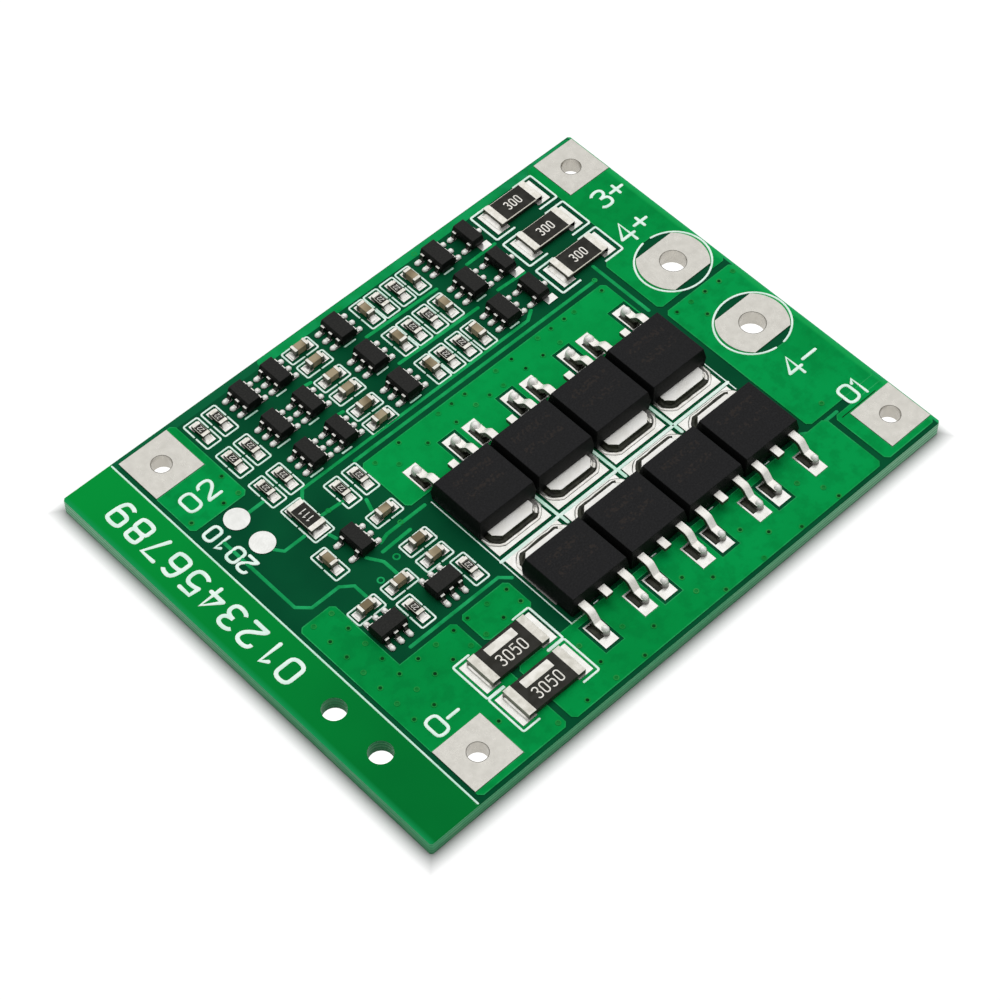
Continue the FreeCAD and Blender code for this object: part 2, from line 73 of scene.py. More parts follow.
def deselect_all() -> None:
    """Leave nothing selected."""
    for thing in bpy.context.selected_objects:
        thing.select_set(False)


def take(piece: Piece) -> None:
    """Select one piece alone and make it the active one.

    Args:
        piece: The piece.
    """
    deselect_all()
    piece.select_set(True)
    bpy.context.view_layer.objects.active = piece


def latest() -> Piece:
    """The piece that the last operator made."""
    return bpy.context.view_layer.objects.active


@contextmanager
def editing(piece: Piece) -> Iterator[bmesh.types.BMesh]:
    """Open a piece's mesh in edit mode with faces as the unit of selection.

    Args:
        piece: The mesh piece.

    Returns:
        The open mesh, valid inside the with block.
    """
    take(piece)
    bpy.ops.object.mode_set(mode="EDIT")
    bpy.ops.mesh.select_mode(type="FACE")
    bpy.ops.mesh.select_all(action="DESELECT")
    yield bmesh.from_edit_mesh(piece.data)
    bpy.ops.object.mode_set(mode="OBJECT")


def select_top(mesh: bmesh.types.BMesh) -> None:
    """Select the faces that look up, and no others.

    Args:
        mesh: The open mesh.
    """
    for face in mesh.faces:
        face.select_set(face.normal.z > UPWARD)
    mesh.select_flush_mode()


def settle(piece: Piece, scale: Sequence[float] = (1.0, 1.0, 1.0)) -> None:
    """Scale a piece and put its place and scale into its mesh.

    Args:
        piece: The piece.
        scale: Its scale along each axis.
    """
    piece.scale = scale
    take(piece)
    bpy.ops.object.transform_apply(location=True, rotation=True, scale=True)


def shade(piece: Piece, degrees: float) -> None:
    """Shade a piece smooth, but not across edges that turn by more than an angle."""
    take(piece)
    bpy.ops.object.shade_smooth_by_angle(angle=math.radians(degrees))


def slab(place: Sequence[float], size: Sequence[float], border: float, rise: float) -> Piece:
    """Model a flat slab whose top rises inside a narrow border.

    Args:
        place: Its middle.
        size: Its length, width and height.
        border: The border's width.
        rise: How much the top rises.

    Returns:
        The piece.
    """
    bpy.ops.mesh.primitive_cube_add(size=1.0, location=place)
    piece = latest()
    settle(piece, size)
    with editing(piece) as mesh:
        select_top(mesh)
        bpy.ops.mesh.inset(thickness=border, depth=rise)
    return piece


def copies(template: Piece, places: Sequence[Matrix], name: str) -> Piece:
    """Copy a finished template to each place and join the copies.

    Args:
        template: The piece that repeats, about the origin. It is used up.
        places: Where each copy goes.
        name: The name of the whole.

    Returns:
        One object with every copy's own mesh in it.
    """
    made = []
    for place in places:
        twin = bpy.data.objects.new(name, template.data.copy())
        twin.data.transform(place)
        bpy.context.scene.collection.objects.link(twin)
        made.append(twin)
    bpy.data.objects.remove(template)
    take(made[0])
    for twin in made:
        twin.select_set(True)
    if len(made) > 1:
        bpy.ops.object.join()
    return latest()


def hand_over(piece: Piece, name: str, slot: str, *finishes: Paint) -> None:
    """Name a finished piece, dress it and let it ride on the board.

    Args:
        piece: The piece, with its place in its mesh.
        name: A plain name.
        slot: Not used.
        finishes: Its materials, in the order of its material slots.
    """
    piece.name = name
    piece.data.name = name
    while len(piece.data.materials) < len(finishes):
        piece.data.materials.append(None)
    for index, finish in enumerate(finishes):
        piece.data.materials[index] = finish
    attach(piece, "root")
    LOG.info("%s: %d faces", name, len(piece.data.polygons))


def dress(node: str, finish: Paint) -> None:
    """Give a CAD node, as it is, a material."""
    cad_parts[node].data.materials.clear()
    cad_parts[node].data.materials.append(finish)


def welded_twin(node: str, name: str, merge: bool = False) -> Piece:
    """Copy a CAD node and weld its loose triangles.

    Args:
        node: The node's name.
        name: The copy's name.
        merge: Whether the triangles of a flat face are merged.

    Returns:
        The copy.
    """
    twin = bpy.data.objects.new(name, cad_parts[node].data.copy())
    bpy.context.scene.collection.objects.link(twin)
    take(twin)
    bpy.ops.mesh.customdata_custom_splitnormals_clear()
    with editing(twin):
        bpy.ops.mesh.select_all(action="SELECT")
        bpy.ops.mesh.remove_doubles(threshold=WELD)
        if merge:
            bpy.ops.mesh.dissolve_limited(angle_limit=math.radians(FLAT))
    return twin


def refinish(node: str, slot: str, rounding: float, *finishes: Paint, segments: int = 2,
             angle: float = 35.0) -> Piece:
    """Replace a CAD node by a dressed copy whose edges are round, as moulding or plating leaves them.

    Args:
        node: The node's name.
        slot: The record's slot whose finish it takes.
        rounding: How far from the edge the rounding starts, in millimetres.
        finishes: Its materials.
        segments: Steps across the rounding.
        angle: Edges that turn by more than this many degrees are rounded.

    Returns:
        The copy.
    """
    twin = welded_twin(node, node + "_finish", merge=True)
    take(twin)
    bpy.ops.object.shade_smooth()
    bevel = twin.modifiers.new("rounding", "BEVEL")
    bevel.width = rounding * MM
    bevel.segments = segments
    bevel.limit_method = "ANGLE"
    bevel.angle_limit = math.radians(angle)
    bevel.harden_normals = True
    bpy.ops.object.modifier_apply(modifier=bevel.name)
    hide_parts(node)
    hand_over(twin, node + "_finish", slot, *finishes)
    return twin


@dataclass(frozen=True)
class Box:
    """The lowest and highest corners of one solid, in metres."""

    low: Vector
    high: Vector

    @property
    def centre(self) -> Vector:
        """The middle of the box."""
        return (self.low + self.high) / 2

    @property
    def size(self) -> Vector:
        """The box's length, width and height."""
        return self.high - self.low

    def covers(self, place: Vector) -> bool:
        """Whether a place lies within the box in plan."""
        return self.low.x <= place.x <= self.high.x and self.low.y <= place.y <= self.high.y

    def side(self, centre: Vector, axis: int) -> tuple[int, float]:
        """Which side of a centre the box is on along an axis, -1 or 1, and where its outer face is."""
        outward = 1 if self.centre[axis] > centre[axis] else -1
        return outward, (self.high if outward > 0 else self.low)[axis]


def box_round(places: Sequence[Vector]) -> Box:
    """The box round some places."""
    axes = list(zip(*places))
    return Box(Vector([min(values) for values in axes]), Vector([max(values) for values in axes]))


def node_box(node: str) -> Box:
    """The box of a whole CAD node."""
    return Box(*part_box(node))


def solids_of(node: str) -> list[Box]:
    """Find the box of each separate solid in a CAD node.

    Args:
        node: The node's name.

    Returns:
        One box for each solid.
    """
    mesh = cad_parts[node].data
    owner: dict[tuple[float, ...], int] = {}
    group = list(range(len(mesh.vertices)))

    def root(index: int) -> int:
        """The corner that stands for a corner's whole solid."""
        while group[index] != index:
            group[index] = group[group[index]]
            index = group[index]
        return index

    for vertex in mesh.vertices:
        key = tuple(round(value, 7) for value in vertex.co)
        group[vertex.index] = owner.setdefault(key, vertex.index)
    for polygon in mesh.polygons:
        first = root(polygon.vertices[0])
        for index in polygon.vertices[1:]:
            group[root(index)] = first
    members: dict[int, list[Vector]] = {}
    for vertex in mesh.vertices:
        members.setdefault(root(vertex.index), []).append(vertex.co)
    return [box_round(places) for places in members.values()]


# The board in the frame. Places on it are in millimetres from its near left corner.
BOARD_LOW, BOARD_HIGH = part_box("printed_board")
FACE = BOARD_HIGH.z
POUR_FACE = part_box("masked_copper")[1].z
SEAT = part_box("solder_lands")[1].z


def board_point(along: float, across: float) -> Point:
    """A place in plan from distances from the board's near left corner."""
    return (BOARD_LOW.x + along * MM, BOARD_LOW.y + across * MM)


# Pens: raised lines of ink and copper

@dataclass(frozen=True)
class Pen:
    """A raised line with a domed section, in millimetres."""

    width: float
    height: float


class Run(Enum):
    """How a pen goes through a stroke's points."""

    STRAIGHT = "straight"
    RING = "straight and closed"
    CURVE = "smooth"
    LOOP = "smooth and closed"


@dataclass(frozen=True)
class Stroke:
    """A line on the board through points, in metres in plan."""

    points: tuple[Point, ...]
    run: Run = Run.STRAIGHT


def ruled(*points: Point) -> Stroke:
    """An open straight stroke through places on the board."""
    return Stroke(tuple(board_point(*point) for point in points))


def arc(centre: Sequence[float], radii: Point, start: float, span: float, steps: int) -> tuple[Point, ...]:
    """Points along an arc, or round a circle without its first point again.

    Args:
        centre: Its centre.
        radii: Its radii along and across.
        start: Where it starts, in degrees.
        span: How far it turns, in degrees.
        steps: The number of its parts.

    Returns:
        The points.
    """
    count = steps if span == 360.0 else steps + 1
    angles = [math.radians(start + span * step / steps) for step in range(count)]
    return tuple((centre[0] + radii[0] * math.cos(angle), centre[1] + radii[1] * math.sin(angle))
                 for angle in angles)


def round_ended(points: Sequence[Point], half: float) -> list[tuple[Point, float]]:
    """Give an open line round ends, with three narrowing points inside each end.

    Args:
        points: The line's points.
        half: Half of the pen's width.

    Returns:
        Points with the share of the pen's width that each has.
    """
    def cap(end: Point, inner: Point) -> list[tuple[Point, float]]:
        """The points of one round end."""
        run = Vector(inner) - Vector(end)
        step = run.normalized() * min(half, run.length / 2)
        outer = Vector(end) - step
        angles = [math.radians(degrees) for degrees in (0.0, 30.0, 60.0, 90.0)]
        return [(tuple(outer + step * (1 - math.cos(angle))), max(math.sin(angle), 0.05))
                for angle in angles]

    start = cap(points[0], points[1])
    stop = cap(points[-1], points[-2])
    return start + [(point, 1.0) for point in points[1:-1]] + stop[::-1]


def swept(piece: Piece, pen: Pen, base: float, level: float, degrees: float) -> Piece:
    """Turn a curve into a mesh with the pen's domed section.

    Args:
        piece: The curve.
        pen: The pen that draws it.
        base: The level at which the curve lies, in metres.
        level: The level to which it goes.
        degrees: Edges that turn by more than this stay sharp.

    Returns:
        The mesh piece.
    """
    piece.data.bevel_depth = pen.width / 2 * MM
    piece.data.bevel_resolution = 1
    take(piece)
    bpy.ops.object.convert(target="MESH")
    piece = latest()
    flatten = Matrix.Diagonal((1.0, 1.0, 2 * pen.height / pen.width, 1.0))
    piece.data.transform(Matrix.Translation((0.0, 0.0, level)) @ flatten
                         @ Matrix.Translation((0.0, 0.0, -base)))
    shade(piece, degrees)
    return piece


# Strokes that cross lie at slightly different levels, so that no two surfaces coincide
STROKE_LEVELS = 4
STROKE_STEP = 0.0015


def draw(strokes: Sequence[Stroke], pen: Pen, level: float, name: str, slot: str, ink: Paint) -> None:
    """Draw strokes as one piece of raised lines and hand it over.

    Args:
        strokes: The lines to draw.
        pen: Their width and height.
        level: The level of the surface that carries them, in metres.
        name: The piece's name.
        slot: The record's slot whose finish it takes.
        ink: Its material.
    """
    curve = bpy.data.curves.new(name, "CURVE")
    curve.dimensions = "3D"
    curve.resolution_u = 4
    curve.use_fill_caps = True
    for number, stroke in enumerate(strokes):
        lift = (number % STROKE_LEVELS) * STROKE_STEP * MM * pen.width / (2 * pen.height)
        smooth = stroke.run in (Run.CURVE, Run.LOOP)
        closed = stroke.run in (Run.RING, Run.LOOP)
        if smooth or closed:
            points = [(point, 1.0) for point in stroke.points]
        else:
            points = round_ended(stroke.points, pen.width / 2 * MM)
        spline = curve.splines.new("NURBS" if smooth else "POLY")
        spline.points.add(len(points) - 1)
        for point, ((x, y), share) in zip(spline.points, points):
            point.co = (x, y, lift, 1.0)
            point.radius = share
        spline.use_cyclic_u = closed
        if smooth:
            spline.order_u = 3
            spline.use_endpoint_u = not closed
    piece = bpy.data.objects.new(name, curve)
    bpy.context.scene.collection.objects.link(piece)
    hand_over(swept(piece, pen, 0.0, level, 25.0), name, slot, ink)


def brackets(box: Box, half_length: float, half_width: float, reach: float, corner: float,
             upright: bool) -> list[Stroke]:
    """A part's outline: two square brackets with rounded corners.

    Args:
        box: The box whose middle the outline surrounds.
        half_length: Half of the outline along the part, in millimetres.
        half_width: Half of the outline across the part.
        reach: How far the brackets' arms run back towards the middle.
        corner: The radius of their corners.
        upright: Whether the part stands across the board.

    Returns:
        The two brackets.
    """
    points = [(half_length - reach, -half_width)]
    for across, start in ((-half_width + corner, -90.0), (half_width - corner, 0.0)):
        points += arc((half_length - corner, across), (corner, corner), start, 90.0, 3)
    points.append((half_length - reach, half_width))
    strokes = []
    for side in (-MM, MM):
        offsets = [(-y * MM, x * side) if upright else (x * side, y * MM) for x, y in points]
        strokes.append(Stroke(tuple((box.centre.x + x, box.centre.y + y) for x, y in offsets)))
    return strokes


# Plain numerals, drawn with one pen in a cell 0.62 wide and 1 high
NUMERAL_WIDTH = 0.62
NUMERALS: dict[str, tuple[tuple[Run, tuple[Point, ...]], ...]] = {
    "0": ((Run.LOOP, ((0.0, 0.0), (0.0, 0.5), (0.0, 1.0), (0.62, 1.0), (0.62, 0.5), (0.62, 0.0))),),
    "1": ((Run.STRAIGHT, ((0.1, 0.8), (0.34, 1.0), (0.34, 0.0))),),
    "2": (
        (Run.CURVE, ((0.0, 0.76), (0.0, 1.0), (0.62, 1.0), (0.62, 0.55), (0.0, 0.1), (0.0, 0.0))),
        (Run.STRAIGHT, ((0.0, 0.0), (0.62, 0.0))),
    ),
    "3": (
        (Run.CURVE, ((0.0, 0.86), (0.08, 1.0), (0.6, 1.0), (0.6, 0.56), (0.22, 0.53))),
        (Run.CURVE, ((0.22, 0.53), (0.62, 0.53), (0.62, 0.0), (0.08, 0.0), (0.0, 0.14))),
    ),
    "4": (
        (Run.STRAIGHT, ((0.46, 0.0), (0.46, 1.0), (0.0, 0.32))),
        (Run.STRAIGHT, ((0.0, 0.32), (0.62, 0.32))),
    ),
    "5": (
        (Run.STRAIGHT, ((0.56, 1.0), (0.05, 1.0), (0.02, 0.58))),
        (Run.CURVE, ((0.02, 0.58), (0.2, 0.66), (0.62, 0.66), (0.62, 0.0), (0.08, 0.0), (0.0, 0.12))),
    ),
    "6": (
        (Run.CURVE, ((0.56, 0.9), (0.48, 1.0), (0.0, 1.0), (0.0, 0.3))),
        (Run.LOOP, ((0.0, 0.0), (0.0, 0.29), (0.0, 0.58), (0.62, 0.58), (0.62, 0.29), (0.62, 0.0))),
    ),
    "7": ((Run.STRAIGHT, ((0.0, 1.0), (0.62, 1.0), (0.22, 0.0))),),
    "8": (
        (Run.LOOP, ((0.04, 0.54), (0.04, 0.77), (0.04, 1.0), (0.58, 1.0), (0.58, 0.77), (0.58, 0.54))),
        (Run.LOOP, ((0.0, 0.0), (0.0, 0.27), (0.0, 0.54), (0.62, 0.54), (0.62, 0.27), (0.62, 0.0))),
    ),
    "9": (
        (Run.CURVE, ((0.06, 0.1), (0.14, 0.0), (0.62, 0.0), (0.62, 0.7))),
        (Run.LOOP, ((0.0, 0.42), (0.0, 0.71), (0.0, 1.0), (0.62, 1.0), (0.62, 0.71), (0.62, 0.42))),
    ),
    "+": (
        (Run.STRAIGHT, ((0.0, 0.5), (0.62, 0.5))),
        (Run.STRAIGHT, ((0.31, 0.19), (0.31, 0.81))),
    ),
    "-": ((Run.STRAIGHT, ((0.0, 0.5), (0.62, 0.5))),),
}


@dataclass(frozen=True)
class Figure:
    """A plain number with its lower left corner at a place, turned about it by degrees."""

    text: str
    low: Point
    height: float
    width: float
    pitch: float
    turn: float = 0.0

    def strokes(self) -> list[Stroke]:
        """Draw the number.

        Returns:
            Its lines.
        """
        turn = Matrix.Rotation(math.radians(self.turn), 2)
        lines = []
        for index, sign in enumerate(self.text):
            for run, points in NUMERALS[sign]:
                placed = []
                for x, y in points:
                    local = Vector((x / NUMERAL_WIDTH * self.width + index * self.pitch, y * self.height))
                    placed.append(board_point(*(Vector(self.low) + turn @ local)))
                lines.append(Stroke(tuple(placed), run))
        return lines


# Finishes

def linear(colour: str) -> tuple[float, float, float, float]:
    """Turn an sRGB hex colour into linear light.

    Args:
        colour: Six hex digits after a hash sign.

    Returns:
        Red, green and blue in linear light, and full alpha.
    """
    values = [int(colour[start:start + 2], 16) / 255 for start in (1, 3, 5)]
    light = [value / 12.92 if value <= 0.04045 else ((value + 0.055) / 1.055) ** 2.4 for value in values]
    return (*light, 1.0)


class Recipe:
    """The nodes of a material or of the world, round its one shader."""

    def __init__(self, owner: Paint | bpy.types.World, shader: str = "Principled BSDF",
                 coordinates: str = "Object") -> None:
        """Start the recipe.

        Args:
            owner: The new material or world.
            shader: The name of its shader node.
            coordinates: The place that its patterns read.
        """
        owner.use_nodes = True
        self.owner = owner
        self.shader = owner.node_tree.nodes[shader]
        self.place = self.add("TexCoord", out=coordinates)

    def feed(self, node: bpy.types.Node, inputs: Sequence | dict) -> None:
        """Set or link a node's inputs.

        Args:
            node: The node.
            inputs: A value, a hex colour or an output socket for each input, in order or by name.
        """
        for name, value in inputs.items() if isinstance(inputs, dict) else enumerate(inputs):
            if isinstance(value, Socket):
                self.owner.node_tree.links.new(value, node.inputs[name])
            else:
                node.inputs[name].default_value = linear(value) if isinstance(value, str) else value

    def add(self, kind: str, inputs: Sequence | dict = (), out: int | str = 0, **settings: object) -> Socket:
        """Add a node, set it up and link what is given to it.

        Args:
            kind: The node's type, without the words that all types start with.
            inputs: What its inputs are fed with.
            out: The output that is wanted.
            settings: The node's own properties.

        Returns:
            The output socket.
        """
        node = self.owner.node_tree.nodes.new("ShaderNode" + kind)
        for name, value in settings.items():
            setattr(node, name, value)
        self.feed(node, inputs)
        return node.outputs[out]

    def grain(self, size: float, detail: float = 2.0, roughness: float = 0.5,
              place: Socket | None = None) -> dict[str, object]:
        """What a noise is fed with for features of about one real size, in millimetres."""
        return {"Vector": place or self.place, "Scale": 1 / (size * MM), "Detail": detail,
                "Roughness": roughness}

    def patches(self, grain: dict[str, object], *limits: float) -> Socket:
        """The share of a surface that patches take.

        Args:
            grain: Their size and detail.
            limits: The noise's range, and the range of the shares where it isn't 0 to 1.

        Returns:
            The share.
        """
        return self.add("MapRange", (self.add("TexNoise", grain), *limits), clamp=True)

    def ramp(self, vector: Socket, axis: int, *limits: float) -> Socket:
        """A share that grows along one axis of a place or a normal.

        Args:
            vector: The place or the normal.
            axis: The axis's number.
            limits: Where it starts and stops, and the range of the shares where it isn't 0 to 1.

        Returns:
            The share.
        """
        along = self.add("SeparateXYZ", (vector,), axis)
        return self.add("MapRange", (along, *limits), clamp=True)

    def coats(self, colour: str | Socket, *coats: tuple) -> Socket:
        """Lay coats of colour on each other.

        Args:
            colour: The lowest colour.
            coats: For each coat its colour and the shares whose product says how much of it shows.

        Returns:
            The colour on top.
        """
        for coat, share, *others in coats:
            for other in others:
                share = self.add("Math", (share, other), operation="MULTIPLY")
            colour = self.add("Mix", {0: share, 6: colour, 7: coat}, 2, data_type="RGBA")
        return colour

    def finish(self, colour: Socket, grain: dict[str, object], depth: float,
               sockets: dict[str, float | Socket]) -> Paint:
        """Give the shader its colour, its relief and its other values.

        Args:
            colour: The surface's colour.
            grain: The size and detail of its relief.
            depth: The relief's depth, in millimetres.
            sockets: Values for the shader's other inputs.

        Returns:
            The material.
        """
        height = self.add("TexNoise", grain)
        relief = self.add("Bump", {"Height": height, "Distance": depth * MM, "Strength": 1.0})
        self.feed(self.shader, {"Base Color": colour, "Normal": relief, **sockets})
        return self.owner


# Cured solder mask is smooth, with a faint orange peel
MASK_PEEL = 0.9
MASK_GLOSS = {"Roughness": 0.35, "Specular IOR Level": 0.018}


@dataclass(frozen=True)
class MaskedCopper:
    """Glass-epoxy board under green solder mask, over copper.

    The copper under the mask gives a light, saturated green, a little uneven where the film is
    thicker. The far part of the wide pour behind the power transistors is painted lighter as
    painted light, and a rim along the right edge is a painted highlight.
    """

    name: str = "solder_mask_over_copper"
    light: str = "#029648"
    deep: str = "#01883d"
    patch_size: float = 16.0
    stain: str = "#017534"
    # Painted light: the colour of the far part of the wide pour
    bright: str = "#04a44e"
    # Painted highlight: the colour of a rim along the board's right edge
    rim: str = "#19a653"
    rim_width: float = 0.7

    def build(self) -> Paint:
        """Make the material."""
        recipe = Recipe(bpy.data.materials.new(self.name))
        place = recipe.place
        patches = recipe.patches(recipe.grain(self.patch_size), 0.38, 0.62)
        speckle = recipe.patches(recipe.grain(1.4, 3.0, 0.6), 0.3, 0.8, 0.0, 0.25)
        right = BOARD_HIGH.x - self.rim_width * MM
        colour = recipe.coats(
            self.deep,
            (self.light, recipe.add("Math", (patches, speckle), operation="ADD")),
            (self.stain, recipe.patches(recipe.grain(1.3, 3.0, 0.6), 0.46, 0.62, 0.0, 0.4)),
            # Painted light: the wide pour behind the power transistors is painted lighter towards the far
            # side
            (self.bright, recipe.ramp(place, 1, -6.0 * MM, -1.0 * MM, 0.0, 0.3),
             recipe.ramp(place, 0, 20.0 * MM, 21.0 * MM, 1.0, 0.0),
             recipe.ramp(place, 0, -17.0 * MM, -10.0 * MM)),
            # Painted highlight: a lighter rim along the board's right edge
            (self.rim, recipe.ramp(place, 0, right, right + 0.3 * MM, 0.0, 0.7)),
        )
        return recipe.finish(colour, recipe.grain(MASK_PEEL), 0.004, MASK_GLOSS)


@dataclass(frozen=True)
class MaskedLaminate:
    """Glass-epoxy laminate under green solder mask, with bare sawn edges.

    With no copper behind it the mask looks deep and dark. The handling strip has copper behind
    it and is a middle green, painted darker at its near end and lighter at its far end as painted
    light, and thin rims of the face are painted lighter as painted light coming through the
    laminate. The sawn edge is a pale grey-green with faint layers of glass cloth, painted lighter
    towards its ends as painted light.
    """

    name: str = "glass_epoxy_laminate"
    gap: str = "#05502f"
    gap_deep: str = "#03462a"
    # Painted light: the strip is painted darker at its near end and lighter at its far end
    strip_near: str = "#016e2d"
    strip_far: str = "#029038"
    strip_end: float = 5.3
    # Painted light: lighter rims along the far, the right and the near edge of the face, for light coming
    # through the laminate
    far_rim: str = "#0a603a"
    far_rim_width: float = 0.9
    near_rim: str = "#169455"
    near_rim_width: float = 0.55
    right_rim: str = "#22a160"
    right_rim_width: float = 0.3
    edge_top: str = "#58b780"
    edge_bottom: str = "#4c8b65"
    # Painted light: the sawn edge is painted lighter towards its ends
    lit_edge_ends: str = "#a5dcb8"
    cloth: str = "#2c7350"
    cloth_pitch: float = 0.42
    fibre: str = "#93b493"

    def build(self) -> Paint:
        """Make the material."""
        recipe = Recipe(bpy.data.materials.new(self.name))
        place = recipe.place
        x, y, z = (recipe.add("SeparateXYZ", (place,), axis) for axis in range(3))
        strip_end = BOARD_LOW.x + self.strip_end * MM
        in_strip = recipe.add("Math", (x, strip_end), operation="LESS_THAN")
        beyond_strip = recipe.add("Math", (x, strip_end), operation="GREATER_THAN")
        along = recipe.ramp(place, 1, BOARD_LOW.y, BOARD_HIGH.y)
        wave = recipe.patches(recipe.grain(9.0), 0.3, 0.7, -0.12, 0.12)
        along = recipe.add("Math", (along, wave), operation="ADD")
        far = BOARD_HIGH.y - self.far_rim_width * MM
        right = BOARD_HIGH.x - self.right_rim_width * MM
        near = BOARD_LOW.x + self.near_rim_width * MM
        face = recipe.coats(
            self.gap_deep,
            (self.gap, recipe.patches(recipe.grain(6.0), 0.35, 0.65)),
            # Painted light: the strip's change from its near end to its far end
            (recipe.coats(self.strip_near, (self.strip_far, along)), in_strip),
            # Painted light: the lighter rims along the far, the right and the near edge
            (self.far_rim, recipe.ramp(place, 1, far, far + 0.1 * MM), beyond_strip),
            (self.right_rim, recipe.ramp(place, 0, right, right + 0.1 * MM), beyond_strip),
            (self.near_rim, recipe.ramp(place, 0, near, BOARD_LOW.x, 0.0, 0.9)),
        )
        layers = recipe.add("Math", (z, 2 * math.pi / (self.cloth_pitch * MM)), operation="MULTIPLY")
        layers = recipe.add("Math", (layers,), operation="SINE")
        aside = recipe.add("Math", (x, y), operation="SUBTRACT")
        aside = recipe.add("Math", (aside,), operation="ABSOLUTE")
        # Glass fibres run along the cut, so their pattern is drawn out sideways
        drawn_out = recipe.add("Mapping", {"Vector": place, "Scale": (0.05, 0.05, 1.0)})
        fibres = recipe.grain(0.16, 3.0, 0.6, drawn_out)
        edge = recipe.coats(
            self.edge_bottom,
            (self.edge_top, recipe.ramp(place, 2, 0.0, FACE)),
            # Painted light: the sawn edge is painted lighter towards its ends
            (self.lit_edge_ends, recipe.add("MapRange", (aside, 25.0 * MM, 53.0 * MM, 0.0, 0.7), clamp=True)),
            (self.cloth, recipe.add("MapRange", (layers, -0.2, 0.9, 0.0, 0.6), clamp=True)),
            (self.fibre, recipe.patches(fibres, 0.52, 0.72, 0.0, 0.5)),
        )
        over = recipe.add("Math", (z, 0.03 * MM), operation="GREATER_THAN")
        under = recipe.add("Math", (z, FACE - 0.03 * MM), operation="LESS_THAN")
        return recipe.finish(recipe.coats(face, (edge, over, under)), recipe.grain(MASK_PEEL), 0.003,
                             MASK_GLOSS)


@dataclass(frozen=True)
class Metal:
    """A tin or solder surface.

    Bright tin is nearly white with soft reflections. Levelled solder has slow waves, wire
    terminals are satin and slightly grey, and a formed lead keeps fine drawing marks. Steep
    sides are painted dull and olive, as a painted reflection of the dark board and parts round
    them and as painted shade.
    """

    name: str
    colour: str
    shade: str
    roughness: float
    patch_size: float = 1.2
    wave_size: float = 0.5
    wave_depth: float = 0.006
    # Painted reflection and shade: the dull colour that steep faces are painted
    painted_steep_shade: str = "#4b5040"
    metallic: float = 0.85
    slopes: Point = (0.15, 0.62)

    def build(self) -> Paint:
        """Make the material."""
        recipe = Recipe(bpy.data.materials.new(self.name))
        patches = recipe.patches(recipe.grain(self.patch_size, 3.0), 0.35, 0.7)
        # Painted reflection and shade: steep faces turn to the dull colour
        level = recipe.ramp(recipe.add("NewGeometry", out="Normal"), 2, *self.slopes)
        colour = recipe.coats(self.painted_steep_shade, (recipe.coats(self.colour, (self.shade, patches)), level))
        gloss = recipe.patches(recipe.grain(self.patch_size * 0.6), 0.3, 0.7, self.roughness * 0.8,
                               min(self.roughness * 1.25, 1.0))
        return recipe.finish(colour, recipe.grain(self.wave_size), self.wave_depth,
                             {"Roughness": gloss, "Metallic": self.metallic})


@dataclass(frozen=True)
class Moulding:
    """Black epoxy moulding compound, as moulded, with laser marking.

    The mould's eroded surface gives an even fine grain, and the drafted sides are smoother.
    The sides are painted darker, as painted shade. Laser marking leaves faint brown rows that
    can hardly be read.
    """

    name: str
    colour: str = "#1b1b1c"
    grain_colour: str = "#262627"
    # Painted shade: the darker colour of the sides
    side: str = "#0b0c0b"
    mark: str = "#453a31"
    centre: Point = (0.0, 0.0)
    mark_rows: tuple[float, ...] = ()
    mark_length: float = 4.2
    mark_height: float = 0.75
    mark_share: float = 0.22
    top: float = 0.0

    def build(self) -> Paint:
        """Make the material."""
        recipe = Recipe(bpy.data.materials.new(self.name))
        # The real grain of about 0.03 mm is too fine to show, so it is drawn five times as coarse
        fine = recipe.grain(0.16, 2.0, 0.7)
        # Painted shade: faces that stand up are painted with the darker side colour
        upright = recipe.ramp(recipe.add("NewGeometry", out="Normal"), 2, 0.8, 0.3, 0.0, 0.75)
        colour = recipe.coats(self.colour, (self.grain_colour, recipe.patches(fine, 0.4, 0.75)),
                              (self.side, upright))
        if self.mark_rows:
            colour = recipe.coats(colour, (self.mark, *self.marked(recipe), self.mark_share))
        return recipe.finish(colour, fine, 0.012, {"Roughness": 0.52, "Specular IOR Level": 0.09})

    def marked(self, recipe: Recipe) -> list[Socket]:
        """The shares whose product says where the rows of marks are.

        Args:
            recipe: The material's recipe.

        Returns:
            The shares along, across and over the body and within the signs.
        """
        local = recipe.add("Mapping", {"Vector": recipe.place,
                                       "Location": (-self.centre[0], -self.centre[1], 0.0)})
        x, y, z = (recipe.add("SeparateXYZ", (local,), axis) for axis in range(3))

        def within(value: Socket, middle: float, size: float) -> Socket:
            """Whether a place is within a size round a middle."""
            offset = recipe.add("Math", (value, middle * MM), operation="SUBTRACT")
            offset = recipe.add("Math", (offset,), operation="ABSOLUTE")
            return recipe.add("Math", (offset, size * MM / 2), operation="LESS_THAN")

        rows = 0.0
        for row in self.mark_rows:
            rows = recipe.add("Math", (rows, within(y, row, self.mark_height)), operation="MAXIMUM")
        signs = recipe.patches(recipe.grain(0.26, 1.0, 0.3), 0.5, 0.62)
        on_top = recipe.add("Math", (z, self.top - 0.05 * MM), operation="GREATER_THAN")
        return [within(x, 0.0, self.mark_length), rows, signs, on_top]


